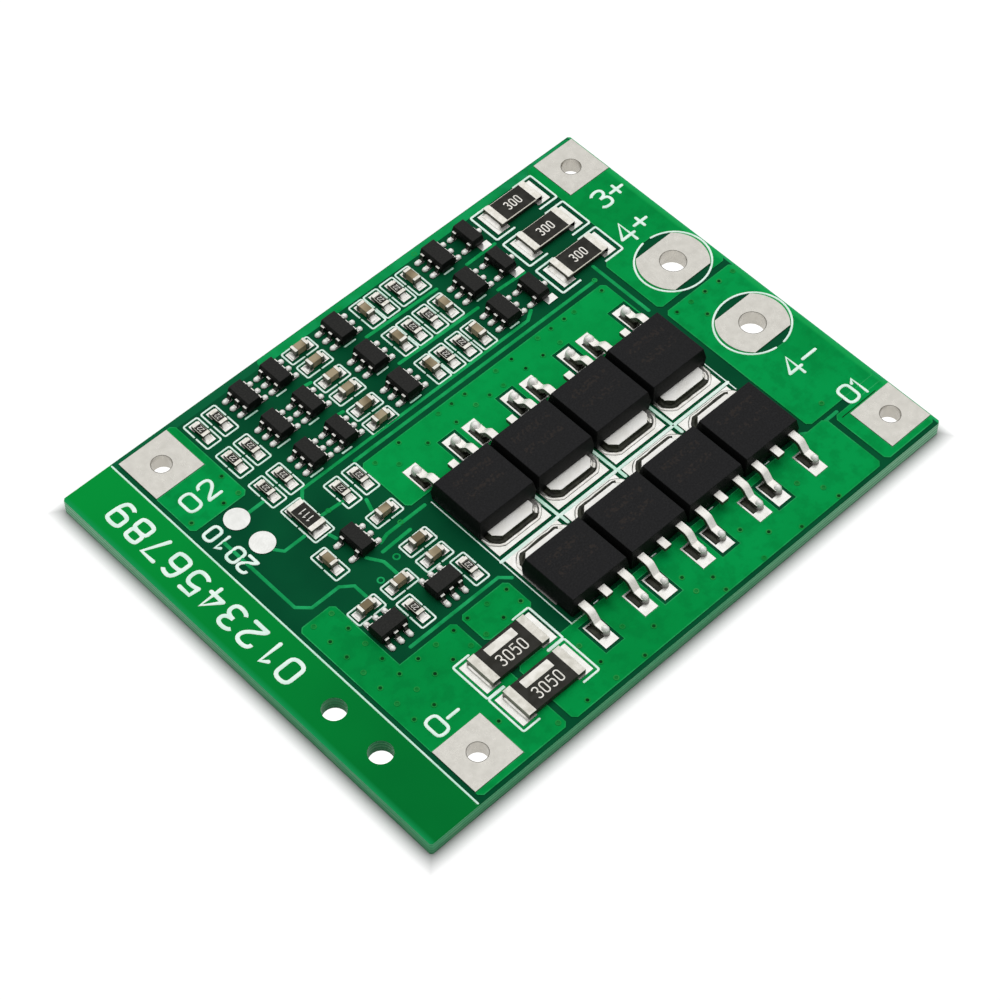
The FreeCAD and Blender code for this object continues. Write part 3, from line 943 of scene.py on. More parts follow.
@dataclass(frozen=True)
class Coating:
    """A smooth opaque coat, such as resistor glaze, legend ink or fired ceramic.

    Glaze is glossy and nearly black, and on a small resistor it stops short of the pale alumina
    edge. Legend ink is matt, thick and slightly green where the mask shows through. Ceramic is a
    dull tan that differs from chip to chip.
    """

    name: str
    colour: str
    shade: str
    patch_size: float
    roughness: float
    specular: float
    rim: str = ""

    def build(self) -> Paint:
        """Make the material."""
        recipe = Recipe(bpy.data.materials.new(self.name))
        patches = recipe.patches(recipe.grain(self.patch_size, 1.0), 0.4, 0.6)
        colour = recipe.coats(self.colour, (self.shade, patches))
        if self.rim:
            normal = recipe.add("NewGeometry", out="Normal")
            colour = recipe.coats(colour, (self.rim, recipe.ramp(normal, 2, 0.1, 0.3),
                                           recipe.ramp(normal, 2, 0.985, 0.95)))
        return recipe.finish(colour, recipe.grain(0.25), 0.004,
                             {"Roughness": self.roughness, "Specular IOR Level": self.specular})


def made(recipe: MaskedCopper | MaskedLaminate | Metal | Moulding | Coating) -> Paint:
    """A field that holds a finish's material."""
    return field(default_factory=recipe.build)


@dataclass
class Finishes:
    """Every finish on the board, made once."""

    copper: Paint = made(MaskedCopper())
    laminate: Paint = made(MaskedLaminate())
    trace: Paint = made(MaskedCopper("solder_mask_over_a_trace", "#22a562", "#129150", 2.0))
    edge_band: Paint = made(MaskedCopper("solder_mask_over_the_edge_band", "#159458", "#098046", 3.0))
    # Lighter than the mask round it: partly the thin mask over the copper's edge, partly a painted highlight
    bead: Paint = made(MaskedCopper("solder_mask_over_an_edge", "#2ba45f", "#109448", 5.0))
    via_ring: Paint = made(MaskedCopper("solder_mask_over_a_via", "#2c9446", "#0e873a", 3.0))
    via_hole: Paint = made(Coating("mask_in_a_via", "#063013", "#0b4c1d", 6.0, 0.6, 0.05))
    faint_via: Paint = made(Coating("mask_filling_a_via", "#0b7a30", "#17803a", 6.0, 0.6, 0.05))
    terminal: Paint = made(Metal("satin_tinned_copper", "#dcd9d1", "#d3d0c8", 0.32, 0.8, 2.0, 0.001,
                                 "#b6b2a9"))
    land: Paint = made(Metal("levelled_solder_land", "#fdfcf8", "#ecebe3", 0.22, 0.9, 0.7, 0.004,
                             metallic=0.7))
    probe: Paint = made(Metal("levelled_solder_probe_land", "#fbfbf7", "#efefeb", 0.4, 1.2))
    solder: Paint = made(Metal("reflowed_solder", "#fbf9f4", "#dedbd2", 0.2, 0.5, 0.4, 0.01, "#33322a"))
    # Painted shade and painted reflection: dark solder on the lands round the leads' feet and in the valley
    # round the tabs
    painted_shade_solder: Paint = made(Metal("solder_with_painted_shade", "#34362a", "#181812", 0.35, 0.45, 0.8, 0.004,
                             "#34362a", 0.5))
    bead_solder: Paint = made(Metal("solder_bead", "#fefdfa", "#f4f2ec", 0.25, 0.5, 0.8, 0.002,
                                    "#3a352c", 0.15, (0.0, 0.5)))
    lead: Paint = made(Metal("tin_plated_lead", "#fdfbf5", "#efece4", 0.3, 0.7, 1.6, 0.0004,
                             "#3e4233", 0.2))
    tab: Paint = made(Metal("tin_plated_tab", "#fefdf9", "#f6f4ee", 0.5, 0.9, 1.6, 0.0004,
                            "#3e4233", 0.12))
    small_lead: Paint = made(Metal("tin_plated_small_lead", "#fdfbf5", "#eeebe3", 0.3, 0.7, 0.8, 0.002,
                                   "#22241d", 0.35, (0.35, 0.85)))
    hole_rim: Paint = made(Metal("dull_hole_rim", "#8a877f", "#7d7a72", 0.4, 0.8, painted_steep_shade="#6f6c65"))
    ends: Paint = made(Metal("tin_plated_chip_end", "#f7f4ec", "#dedacd", 0.3, 0.4, painted_steep_shade="#55564a"))
    band: Paint = made(Metal("matt_tinned_band", "#ebe8df", "#d2cfc4", 0.36, 0.6, painted_steep_shade="#6f7566"))
    small_body: Paint = made(Moulding("small_moulding_compound", "#232322", "#2f2f2d"))
    glaze: Paint = made(Coating("resistor_glaze", "#282722", "#302f2b", 0.8, 0.34, 0.12))
    rimmed_glaze: Paint = made(Coating("resistor_glaze_on_alumina", "#252420", "#2e2d29", 0.8, 0.34,
                                       0.12, "#ece7d8"))
    ceramic: Paint = made(Coating("fired_ceramic", "#a3957a", "#786b52", 2.2, 0.5, 0.12))
    ink: Paint = made(Coating("legend_ink", "#daf6e8", "#c6efdb", 1.2, 0.6, 0.05))
    thick_ink: Paint = made(Coating("thick_legend_ink", "#ecfcf4", "#dcf5e9", 1.2, 0.6, 0.05))
    code: Paint = made(Coating("resistor_code_ink", "#f3f0e9", "#e0ddd4", 0.8, 0.6, 0.05))


# Solder

LANDS = solids_of("solder_lands")


# A fillet is a little narrower than its end, and solder is thin where it runs out
FILLET_WIDTH = 0.94
THIN = 0.05


class SolderForm(Enum):
    """How solder lies against a part."""

    FILLET = "fillet"
    MOUND = "mound"
    BEAD = "bead"


def solder_template(form: SolderForm, steps: int = 8) -> Piece:
    """Model one piece of solder in a unit box, from x = 0 at the part to x = 1 at the land's edge.

    Args:
        form: A concave fillet, a rounded mound that fills its rectangle or a round bead.
        steps: Divisions of its top face each way.

    Returns:
        A closed mesh piece about the origin, one unit high.
    """
    bpy.ops.mesh.primitive_grid_add(x_subdivisions=steps, y_subdivisions=steps, size=1.0,
                                    location=(0.5, 0.0, 0.0))
    piece = latest()
    settle(piece)
    with editing(piece):
        bpy.ops.mesh.select_all(action="SELECT")
        bpy.ops.mesh.extrude_region_move(TRANSFORM_OT_translate={"value": (0.0, 0.0, 1.0)})
    for vertex in piece.data.vertices:
        away, x, y = vertex.co.x, 2 * vertex.co.x - 1, 2 * vertex.co.y
        if form is SolderForm.BEAD:
            vertex.co.x = 0.5 + x * math.sqrt(1 - y * y / 2) / 2
            vertex.co.y = y * math.sqrt(1 - x * x / 2) / 2
        if vertex.co.z > 0.5:
            crown = math.sqrt(max(1 - x * x, 0.0) * max(1 - y * y, 0.0))
            if form is SolderForm.FILLET:
                crown = (1 - away) ** 1.9 * (1 - abs(y) ** 5)
            vertex.co.z = THIN + (1 - THIN) * crown
    with editing(piece):
        bpy.ops.mesh.select_all(action="SELECT")
        bpy.ops.mesh.normals_make_consistent(inside=False)
    shade(piece, 50.0)
    return piece


def solder_place(wall: Sequence[float], axis: int, outward: int, size: Sequence[float]) -> Matrix:
    """Where a piece of solder goes.

    Args:
        wall: The middle of the part's wall, in metres.
        axis: The axis along which it runs.
        outward: Its direction along that axis, -1 or 1.
        size: How far it reaches from the wall, its width and its height.

    Returns:
        The matrix that turns, sizes and places the unit template.
    """
    turn = math.atan2(outward * axis, outward * (1 - axis))
    return (Matrix.Translation((wall[0], wall[1], SEAT)) @ Matrix.Rotation(turn, 4, "Z")
            @ Matrix.Diagonal((*size, 1.0)))


def solder(form: SolderForm, steps: int, places: Sequence[Matrix], name: str, finish: Paint) -> None:
    """Set pieces of solder of one form and hand them over as one.

    Args:
        form: Their form.
        steps: Divisions of each top face.
        places: Where they go.
        name: The name of the whole.
        finish: Its material.
    """
    hand_over(copies(solder_template(form, steps), places, name), name, "solder", finish)


@dataclass(frozen=True)
class ChipPlace:
    """A two-ended part on its lands, as the frame has it."""

    body: Box
    ends: tuple[Box, ...]
    lands: tuple[Box, ...]

    @property
    def upright(self) -> bool:
        """Whether the part stands across the board."""
        gap = self.ends[1].centre - self.ends[0].centre
        return abs(gap.y) > abs(gap.x)

    @property
    def outline(self) -> Box:
        """The box round both lands."""
        return box_round([corner for land in self.lands for corner in (land.low, land.high)])

    def fillets(self, rise: float, reach: float) -> list[Matrix]:
        """The places of the two solder fillets.

        Args:
            rise: How much of the end's height the solder climbs.
            reach: How much of the land beyond the end it covers.

        Returns:
            One place for each end.
        """
        places = []
        axis = int(self.upright)
        for end, land in zip(self.ends, self.lands):
            outward, wall = end.side(self.body.centre, axis)
            edge = land.side(self.body.centre, axis)[1]
            middle = end.centre
            middle[axis] = wall
            size = (abs(edge - wall) * reach, end.size[1 - axis] * FILLET_WIDTH, end.size.z * rise)
            places.append(solder_place(middle, axis, outward, size))
        return places


def chip_places(bodies: str, ends: str) -> list[ChipPlace]:
    """Find each two-ended part of a kind in the frame.

    Args:
        bodies: The node of the bodies.
        ends: The node of their metal ends.

    Returns:
        One place for each part.
    """
    end_boxes = solids_of(ends)
    places = []
    for body in solids_of(bodies):
        nearest = sorted(end_boxes, key=lambda box: (box.centre - body.centre).length)[:2]
        under = [next(land for land in LANDS if land.covers(end.centre)) for end in nearest]
        places.append(ChipPlace(body, tuple(nearest), tuple(under)))
    return places


def large_resistor(kind: str, number: int) -> ChipPlace:
    """Find one of the sensing or balancing resistors."""
    return chip_places(f"{kind}_resistor_body_{number}", f"{kind}_resistor_bands_{number}")[0]


# Sub-assemblies

TERMINALS = (
    "battery_plus_terminal",
    "battery_minus_terminal",
    "cell_tap_one_terminal",
    "cell_tap_two_terminal",
    "pack_plus_terminal",
    "pack_minus_terminal",
)


@dataclass
class Panel:
    """The laminate panel, its masked copper fields, its traces and its tented vias."""

    finishes: Finishes
    trace: Pen = Pen(0.34, 0.035)
    edge_band: Pen = Pen(0.9, 0.025)
    bridge: tuple[Point, Point] = ((56.0, 6.4), (59.7, 7.7))
    bridge_lift: float = 0.002
    bridge_border: float = 0.06
    bridge_rise: float = 0.003
    # Painted shadow: a thin dark line along the near right terminal's edge
    step: Pen = Pen(0.14, 0.02)
    bead: Pen = Pen(0.11, 0.018)
    ring: Pen = Pen(0.16, 0.03)
    ring_radius: float = 0.3
    via_radius: float = 0.26
    via_hole: float = 0.17
    via_depth: float = 0.04
    via_wall: float = 0.02
    via_sink: float = 0.035
    via_rise: float = 0.018
    via_clearance: float = 0.45
    # Places in millimetres from the near left corner
    traces: tuple[tuple[Point, ...], ...] = (
        ((7.0, 33.0), (7.0, 24.0), (8.0, 23.0), (11.0, 23.0), (12.0, 22.2), (12.0, 20.8)),
        ((9.3, 29.9), (10.1, 28.8), (12.4, 28.8)),
        ((10.4, 33.85), (12.1, 33.85)),
        ((14.6, 31.7), (15.4, 32.55), (42.0, 32.55), (43.0, 33.2)),
        ((20.6, 31.7), (49.6, 31.7)),
        ((50.55, 26.0), (50.55, 33.0)),
        ((14.6, 29.4), (17.0, 29.25)),
        ((18.6, 28.0), (18.2, 26.9)),
        ((13.9, 27.6), (14.1, 26.8)),
        ((16.5, 23.9), (17.5, 24.2), (21.8, 24.2)),
        ((16.0, 23.1), (19.2, 23.2)),
        ((14.6, 23.6), (15.4, 22.3), (15.4, 20.7)),
        ((11.3, 14.6), (21.2, 14.6), (22.0, 13.8)),
        ((50.3, 7.4), (51.0, 6.9), (54.3, 6.9)),
        ((30.4, 41.0), (38.6, 40.75)),
        ((42.5, 40.95), (46.0, 41.0)),
        ((30.5, 36.85), (39.8, 36.65)),
        ((42.5, 36.9), (45.6, 36.75)),
        ((22.7, 40.7), (23.5, 40.6)),
        ((22.6, 36.4), (23.4, 36.3)),
    )
    rings: tuple[Point, ...] = ((16.5, 21.95), (13.95, 21.1))
    # Rows of vias: the first one's place, the step to the next and how many there are
    via_rows: tuple[tuple[Point, Point, int], ...] = (
        ((6.8, 9.3), (0.01, 2.03), 7),
        ((8.9, 9.2), (-0.02, 2.04), 7),
        ((10.95, 11.3), (2.0, -0.02), 3),
        ((10.95, 13.3), (1.98, 0.0), 3),
        ((16.55, 13.4), (2.15, -0.08), 3),
        ((16.6, 11.2), (2.15, 0.2), 3),
        ((14.95, 1.1), (3.2, -0.1), 4),
        ((11.6, 4.5), (-0.1, 1.7), 2),
        ((21.3, 5.15), (0.2, -2.3), 2),
        ((25.2, 4.05), (7.0, 0.0), 4),
        ((27.1, 2.3), (5.0, 0.0), 2),
        ((34.1, 2.3), (6.7, -0.05), 3),
        ((34.0, 0.7), (4.6, 0.0), 4),
        ((21.7, 30.3), (2.9, 0.2), 2),
        ((29.2, 30.45), (1.55, -0.02), 3),
        ((36.0, 30.4), (1.9, 0.0), 2),
        ((41.2, 30.5), (1.6, -0.03), 3),
        ((45.6, 30.4), (3.5, 0.05), 2),
        ((23.1, 28.8), (3.3, -0.05), 3),
        ((32.2, 28.9), (1.6, -0.05), 3),
        ((38.1, 28.8), (2.1, 0.0), 3),
        ((52.2, 24.1), (1.75, -0.03), 5),
        ((54.0, 22.1), (0.0, -13.7), 2),
        ((6.3, 36.3), (3.3, -0.3), 2),
        ((11.2, 35.95), (0.1, 2.3), 2),
    )
    open_vias: tuple[Point, ...] = (
        (15.5, 29.35), (19.1, 24.3), (49.5, 31.75), (30.8, 45.1), (39.9, 45.1),
    )

    def build(self) -> None:
        """Dress the panel and its copper, and add traces, beads and vias."""
        dress("printed_board", self.finishes.laminate)
        dress("masked_copper", self.finishes.copper)
        slot, finishes = "green_mask_copper", self.finishes
        runs = [ruled(*points) for points in self.traces]
        draw(runs, self.trace, FACE, "masked_traces", slot, finishes.trace)
        band = [ruled((21.9, 45.2), (59.2, 45.2))]
        draw(band, self.edge_band, FACE, "masked_edge_band", slot, finishes.edge_band)
        self.build_bridge()
        radii = (self.ring_radius * MM, self.ring_radius * MM)
        circles = [Stroke(arc(board_point(*place), radii, 0.0, 360.0, 8), Run.LOOP) for place in self.rings]
        draw(circles, self.ring, FACE, "masked_rings", slot, finishes.trace)
        self.build_beads()
        self.build_vias()

    def build_bridge(self) -> None:
        """Join two pours beside the near right terminal, with a painted shadow, a thin dark line, along its
        edge.
        """
        low, high = (Vector(board_point(*corner)) for corner in self.bridge)
        place = (*((low + high) / 2), (FACE + POUR_FACE) / 2 + self.bridge_lift * MM)
        piece = slab(place, (*(high - low), POUR_FACE - FACE), self.bridge_border * MM,
                     self.bridge_rise * MM)
        hand_over(piece, "masked_bridge", "green_mask_copper", self.finishes.copper)
        # Painted shadow: a thin dark strip along the terminal's edge
        draw([ruled((54.2, 6.13), (58.4, 6.13))], self.step, POUR_FACE - SUNK, "painted_terminal_shadow",
             "green_mask_copper", self.finishes.via_hole)

    def build_beads(self) -> None:
        """Run a thin bead of mask along every edge of the copper fields. It is painted lighter: partly the
        thin mask over the copper's edge, partly a painted highlight.
        """
        piece = welded_twin("masked_copper", "mask_beads")
        with editing(piece) as mesh:
            select_top(mesh)
            bpy.ops.mesh.region_to_loop()
            bpy.ops.mesh.select_all(action="INVERT")
            bpy.ops.mesh.delete(type="EDGE_FACE")
            bpy.ops.mesh.select_all(action="SELECT")
            bpy.ops.mesh.delete_loose(use_verts=True, use_edges=False, use_faces=False)
        take(piece)
        bpy.ops.object.convert(target="CURVE")
        piece = swept(latest(), self.bead, POUR_FACE, POUR_FACE, 60.0)
        hand_over(piece, "mask_beads", "green_mask_copper", self.finishes.bead)

    def via(self) -> Piece:
        """Model one tented via: a low ring of mask round a sunken middle."""
        bpy.ops.mesh.primitive_cylinder_add(vertices=14, radius=self.via_radius * MM,
                                            depth=self.via_depth * MM)
        piece = latest()
        piece.data.materials.append(self.finishes.via_ring)
        piece.data.materials.append(self.finishes.via_hole)
        with editing(piece) as mesh:
            select_top(mesh)
            bpy.ops.mesh.inset(thickness=(self.via_radius - self.via_hole) * MM, depth=0.0)
            bpy.ops.mesh.inset(thickness=self.via_wall * MM, depth=-self.via_sink * MM)
            for face in bmesh.from_edit_mesh(piece.data).faces:
                if face.select:
                    face.material_index = 1
        shade(piece, 50.0)
        return piece

    def build_vias(self) -> None:
        """Set the vias in their rows, clear of the lands and terminals. Two in five are filled."""
        margin = Vector((1.0, 1.0, 0.0)) * self.via_clearance * MM
        kept_clear = [Box(box.low - margin, box.high + margin)
                      for box in LANDS + [node_box(name) for name in TERMINALS]]
        rise = Vector((0.0, 0.0, self.via_rise * MM))
        places = []
        for (along, across), (step_along, step_across), count in self.via_rows:
            for index in range(count):
                point = board_point(along + index * step_along, across + index * step_across)
                place = Vector((*point, POUR_FACE))
                if not any(box.covers(place) for box in kept_clear):
                    places.append(Matrix.Translation(place + rise))
        for point in self.open_vias:
            places.append(Matrix.Translation(Vector((*board_point(*point), FACE)) + rise))
        for name, turns, middle in (("tented_vias", (0, 2, 4), self.finishes.via_hole),
                                    ("filled_vias", (1, 3), self.finishes.faint_via)):
            chosen = [place for index, place in enumerate(places) if index % 5 in turns]
            hand_over(copies(self.via(), chosen, name), name, "green_mask_copper", self.finishes.via_ring,
                      middle)


@dataclass
class Terminals:
    """The wire terminals, the test lands and the lands under the parts."""

    finishes: Finishes
    edge: float = 0.05
    rim: Pen = Pen(0.07, 0.02)
    rim_reach: float = 0.3

    def build(self) -> None:
        """Round the terminals' edges and dress them."""
        for name in TERMINALS:
            refinish(name, "tinned_terminal", self.edge, self.finishes.terminal, angle=50.0)
            self.build_rim(name)
        dress("probe_lands", self.finishes.probe)
        dress("solder_lands", self.finishes.land)

    def build_rim(self, name: str) -> None:
        """Draw a thin, darker ring round a terminal's hole.

        Args:
            name: The terminal's node.
        """
        middle = node_box(name).centre.xy
        corners = [vertex.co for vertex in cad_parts[name].data.vertices]
        radius = min((corner.xy - middle).length for corner in corners)
        reach = radius + self.rim_reach * MM
        top = max(corner.z for corner in corners if (corner.xy - middle).length < reach)
        ring = Stroke(arc(middle, (radius, radius), 0.0, 360.0, 32), Run.RING)
        draw([ring], self.rim, top - SUNK, name + "_hole_rim", "tinned_terminal",
             self.finishes.hole_rim)


@dataclass
class PowerStage:
    """The eight power transistors with their solder."""

    finishes: Finishes
    count: int = 8
    body_edge: float = 0.07
    metal_edge: float = 0.06
    tab_corner: float = 0.65
    # Rings of the solder round a tab, from the outside in: width and the level of the inner edge
    skirt: tuple[Point, ...] = (
        (0.04, 0.06), (0.1, 0.1), (0.12, 0.1), (0.07, 0.05), (0.17, 0.06), (0.11, 0.12), (0.07, 0.26),
    )
    # Rings from this one inwards are painted dark, as painted shade in the valley at the tab
    unshaded_rings: int = 3
    skirt_lift: float = 0.005
    sections: int = 10
    # The painted shade stops this far from the tab's far end
    unshaded_end: float = 0.25
    # How far the solder wavers, full from a height on and less upwards, and its pattern's scale
    waver: float = 0.09
    waver_height: float = 0.1
    waver_rise: float = 0.3
    waver_scale: float = 1400.0
    waver_seed: int = 7
    # The painted shade round each lead's foot: its border on the land, its reach beyond the toe and its
    # height
    shade_border: float = 0.15
    shade_beyond: float = 0.12
    shade_height: float = 0.1
    # Solder at the leads of the near and the far row: reach, width, height and reach under the foot
    near_bead: tuple[float, ...] = (0.94, 0.8, 0.84, 0.6)
    far_bead: tuple[float, ...] = (1.1, 1.02, 0.86, 0.7)

    def build(self) -> None:
        """Finish bodies, lead frames and solder."""
        noise.seed_set(self.waver_seed)
        for number in range(1, self.count + 1):
            body = node_box(f"transistor_body_{number}")
            facing = -1 if number > self.count // 2 else 1
            moulding = Moulding(f"power_moulding_compound_{number}", centre=(body.centre.x, body.centre.y),
                                mark_rows=(1.35, -0.25), top=body.high.z)
            refinish(f"transistor_body_{number}", "power_moulding", self.body_edge, moulding.build(),
                     angle=25.0)
            node = f"transistor_lead_frame_{number}"
            piece = refinish(node, "tinned_lead_frame", self.metal_edge, self.finishes.lead,
                             self.finishes.tab)
            for face in piece.data.polygons:
                face.material_index = int((face.center.y - body.centre.y) * facing < 0)
            *leads, drain = sorted(solids_of(node), key=lambda box: box.size.x)
            self.build_tab_solder(number, drain, body)
            self.build_lead_solder(number, leads, facing)

    def build_tab_solder(self, number: int, drain: Box, body: Box) -> None:
        """Run solder round a heat tab: a valley at the metal, painted dark as painted shade, and a bright
        ridge outside it.

        Args:
            number: The transistor's number.
            drain: The box of its drain piece.
            body: The box of its moulding.
        """
        reach = sum(width for width, _ in self.skirt) * MM
        outward, end = drain.side(body.centre, 1)
        start, end = body.centre.y, end + outward * reach
        length, width = abs(end - start), drain.size.x + 2 * reach
        middle = (drain.centre.x, (start + end) / 2)
        bpy.ops.mesh.primitive_plane_add(size=1.0, location=(*middle, SEAT + self.skirt_lift * MM))
        piece = latest()
        settle(piece, (width, length, 1.0))
        piece.data.materials.append(self.finishes.solder)
        piece.data.materials.append(self.finishes.painted_shade_solder)
        corner = self.tab_corner * MM + reach * (2 - math.sqrt(2))
        with editing(piece) as mesh:
            bpy.ops.mesh.select_mode(type="VERT")
            for vertex in mesh.verts:
                vertex.select_set((vertex.co.y - start) * outward > length / 2)
            mesh.select_flush_mode()
            bpy.ops.mesh.bevel(offset=corner, affect="VERTICES", segments=3, profile=0.35)
            bpy.ops.mesh.select_mode(type="FACE")
            for cut in range(1, self.sections):
                bpy.ops.mesh.select_all(action="SELECT")
                place = middle[0] + (cut - self.sections / 2) / self.sections * width
                bpy.ops.mesh.bisect(plane_co=(place, middle[1], SEAT), plane_no=(1.0, 0.0, 0.0))
            bpy.ops.mesh.select_all(action="SELECT")
            for ring, (ring_width, level) in enumerate(self.skirt):
                for face in bmesh.from_edit_mesh(piece.data).faces:
                    if face.select:
                        face.material_index = int(ring >= self.unshaded_rings)
                bpy.ops.mesh.inset(thickness=ring_width * MM, depth=0.0, use_even_offset=True)
                for face in bmesh.from_edit_mesh(piece.data).faces:
                    if face.select:
                        for vertex in face.verts:
                            vertex.co.z = SEAT + level * MM
        # Painted shade: the dark solder is kept off the far end, so only the near end and the front are
        # painted dark
        for face in piece.data.polygons:
            if face.center.x > drain.high.x - self.unshaded_end * MM:
                face.material_index = 0
        for vertex in piece.data.vertices:
            share = min((vertex.co.z - SEAT) / (self.waver_height * MM), 1.0)
            shift = noise.noise_vector(vertex.co * self.waver_scale) * self.waver * MM * share
            vertex.co += Vector((shift.x, shift.y, shift.z * self.waver_rise * share))
        shade(piece, 60.0)
        hand_over(piece, f"tab_solder_{number}", "solder", self.finishes.solder, self.finishes.painted_shade_solder)

    def build_lead_solder(self, number: int, leads: Sequence[Box], facing: int) -> None:
        """Set solder round the feet of the outer leads, on a dark patch of painted shade and reflection.

        Args:
            number: The transistor's number.
            leads: The boxes of its two outer leads.
            facing: The leads' direction across the board, -1 or 1.
        """
        run, width, rise, behind = (size * MM for size in (self.near_bead if facing < 0 else self.far_bead))
        border = self.shade_border * MM
        shaded_patches, beads = [], []
        for lead in leads:
            toe = lead.low.y if facing < 0 else lead.high.y
            land = min(LANDS, key=lambda box: (box.centre.xy - Vector((lead.centre.x, toe))).length)
            start = (land.high.y if facing < 0 else land.low.y) + facing * border
            size = (abs(toe - start) + self.shade_beyond * MM, land.size.x - 2 * border,
                    self.shade_height * MM)
            shaded_patches.append(solder_place((land.centre.x, start), 1, facing, size))
            beads.append(solder_place((lead.centre.x, toe - facing * behind), 1, facing, (run, width, rise)))
        # Painted shade and reflection: a dark patch on each land round the lead's foot
        solder(SolderForm.MOUND, 8, shaded_patches, f"lead_painted_shade_{number}", self.finishes.painted_shade_solder)
        solder(SolderForm.BEAD, 10, beads, f"lead_solder_{number}", self.finishes.bead_solder)


@dataclass
class Resistors:
    """The current sensing pair and the balancing resistors, with their marks and solder."""

    finishes: Finishes
    edge: float = 0.06
    balance_edge: float = 0.1
    pen: Pen = Pen(0.12, 0.012)
    sense_text: str = "3050"
    balance_text: str = "300"
    # Height, width and pitch of the figures
    sense_code: tuple[float, float, float] = (1.1, 0.48, 0.8)
    balance_code: tuple[float, float, float] = (0.9, 0.36, 0.62)
    bar: tuple[float, float, float] = (3.15, 0.85, 0.016)
    bar_offset: float = 0.88
    bar_border: float = 0.05
    bar_rise: float = 0.004

    def build(self) -> None:
        """Finish both kinds."""
        for number in (1, 2):
            body = self.build_one("sense", number, self.edge, self.finishes.glaze, self.finishes.band,
                                  0.12, 0.22)
            place = body.centre + Vector((0.0, self.bar_offset * MM, 0.0))
            place.z = body.high.z + self.bar_rise * MM
            piece = slab(place, [size * MM for size in self.bar], self.bar_border * MM, self.bar_rise * MM)
            shade(piece, 60.0)
            hand_over(piece, f"sense_bar_{number}", "resistor_coating", self.finishes.code)
            self.build_code(f"sense_code_{number}", self.sense_text, body, self.sense_code, -1.0)
        for number in (1, 2, 3):
            body = self.build_one("balance", number, self.balance_edge, self.finishes.rimmed_glaze,
                                  self.finishes.ends, 0.4, 0.5)
            self.build_code(f"balance_code_{number}", self.balance_text, body, self.balance_code,
                            -self.balance_code[0] / 2)

    def build_one(self, kind: str, number: int, edge: float, coat: Paint, metal: Paint, rise: float,
                  reach: float) -> Box:
        """Finish one resistor's body, bands and solder.

        Args:
            kind: What it is for.
            number: Its number.
            edge: The rounding of its body, in millimetres.
            coat: The body's material.
            metal: The bands' material.
            rise: How much of the bands' height the solder climbs.
            reach: How much of the lands beyond them it covers.

        Returns:
            The body's box.
        """
        refinish(f"{kind}_resistor_body_{number}", "resistor_coating", edge, coat)
        refinish(f"{kind}_resistor_bands_{number}", "plated_ends", self.edge, metal)
        part = large_resistor(kind, number)
        solder(SolderForm.FILLET, 8, part.fillets(rise, reach), f"{kind}_solder_{number}",
               self.finishes.solder)
        return part.body

    def build_code(self, name: str, text: str, body: Box, sizes: tuple[float, float, float],
                   offset: float) -> None:
        """Print a plain number on a resistor.

        Args:
            name: The piece's name.
            text: The number.
            body: The resistor's body.
            sizes: Height, width and pitch of the figures, in millimetres.
            offset: How far above the body's middle the figures start, in millimetres.
        """
        span = (len(text) - 1) * sizes[2] + sizes[1]
        along, across = (body.centre.xy - BOARD_LOW.xy) / MM
        figure = Figure(text, (along - span / 2, across + offset), *sizes)
        draw(figure.strokes(), self.pen, body.high.z, name, "resistor_coating", self.finishes.code)


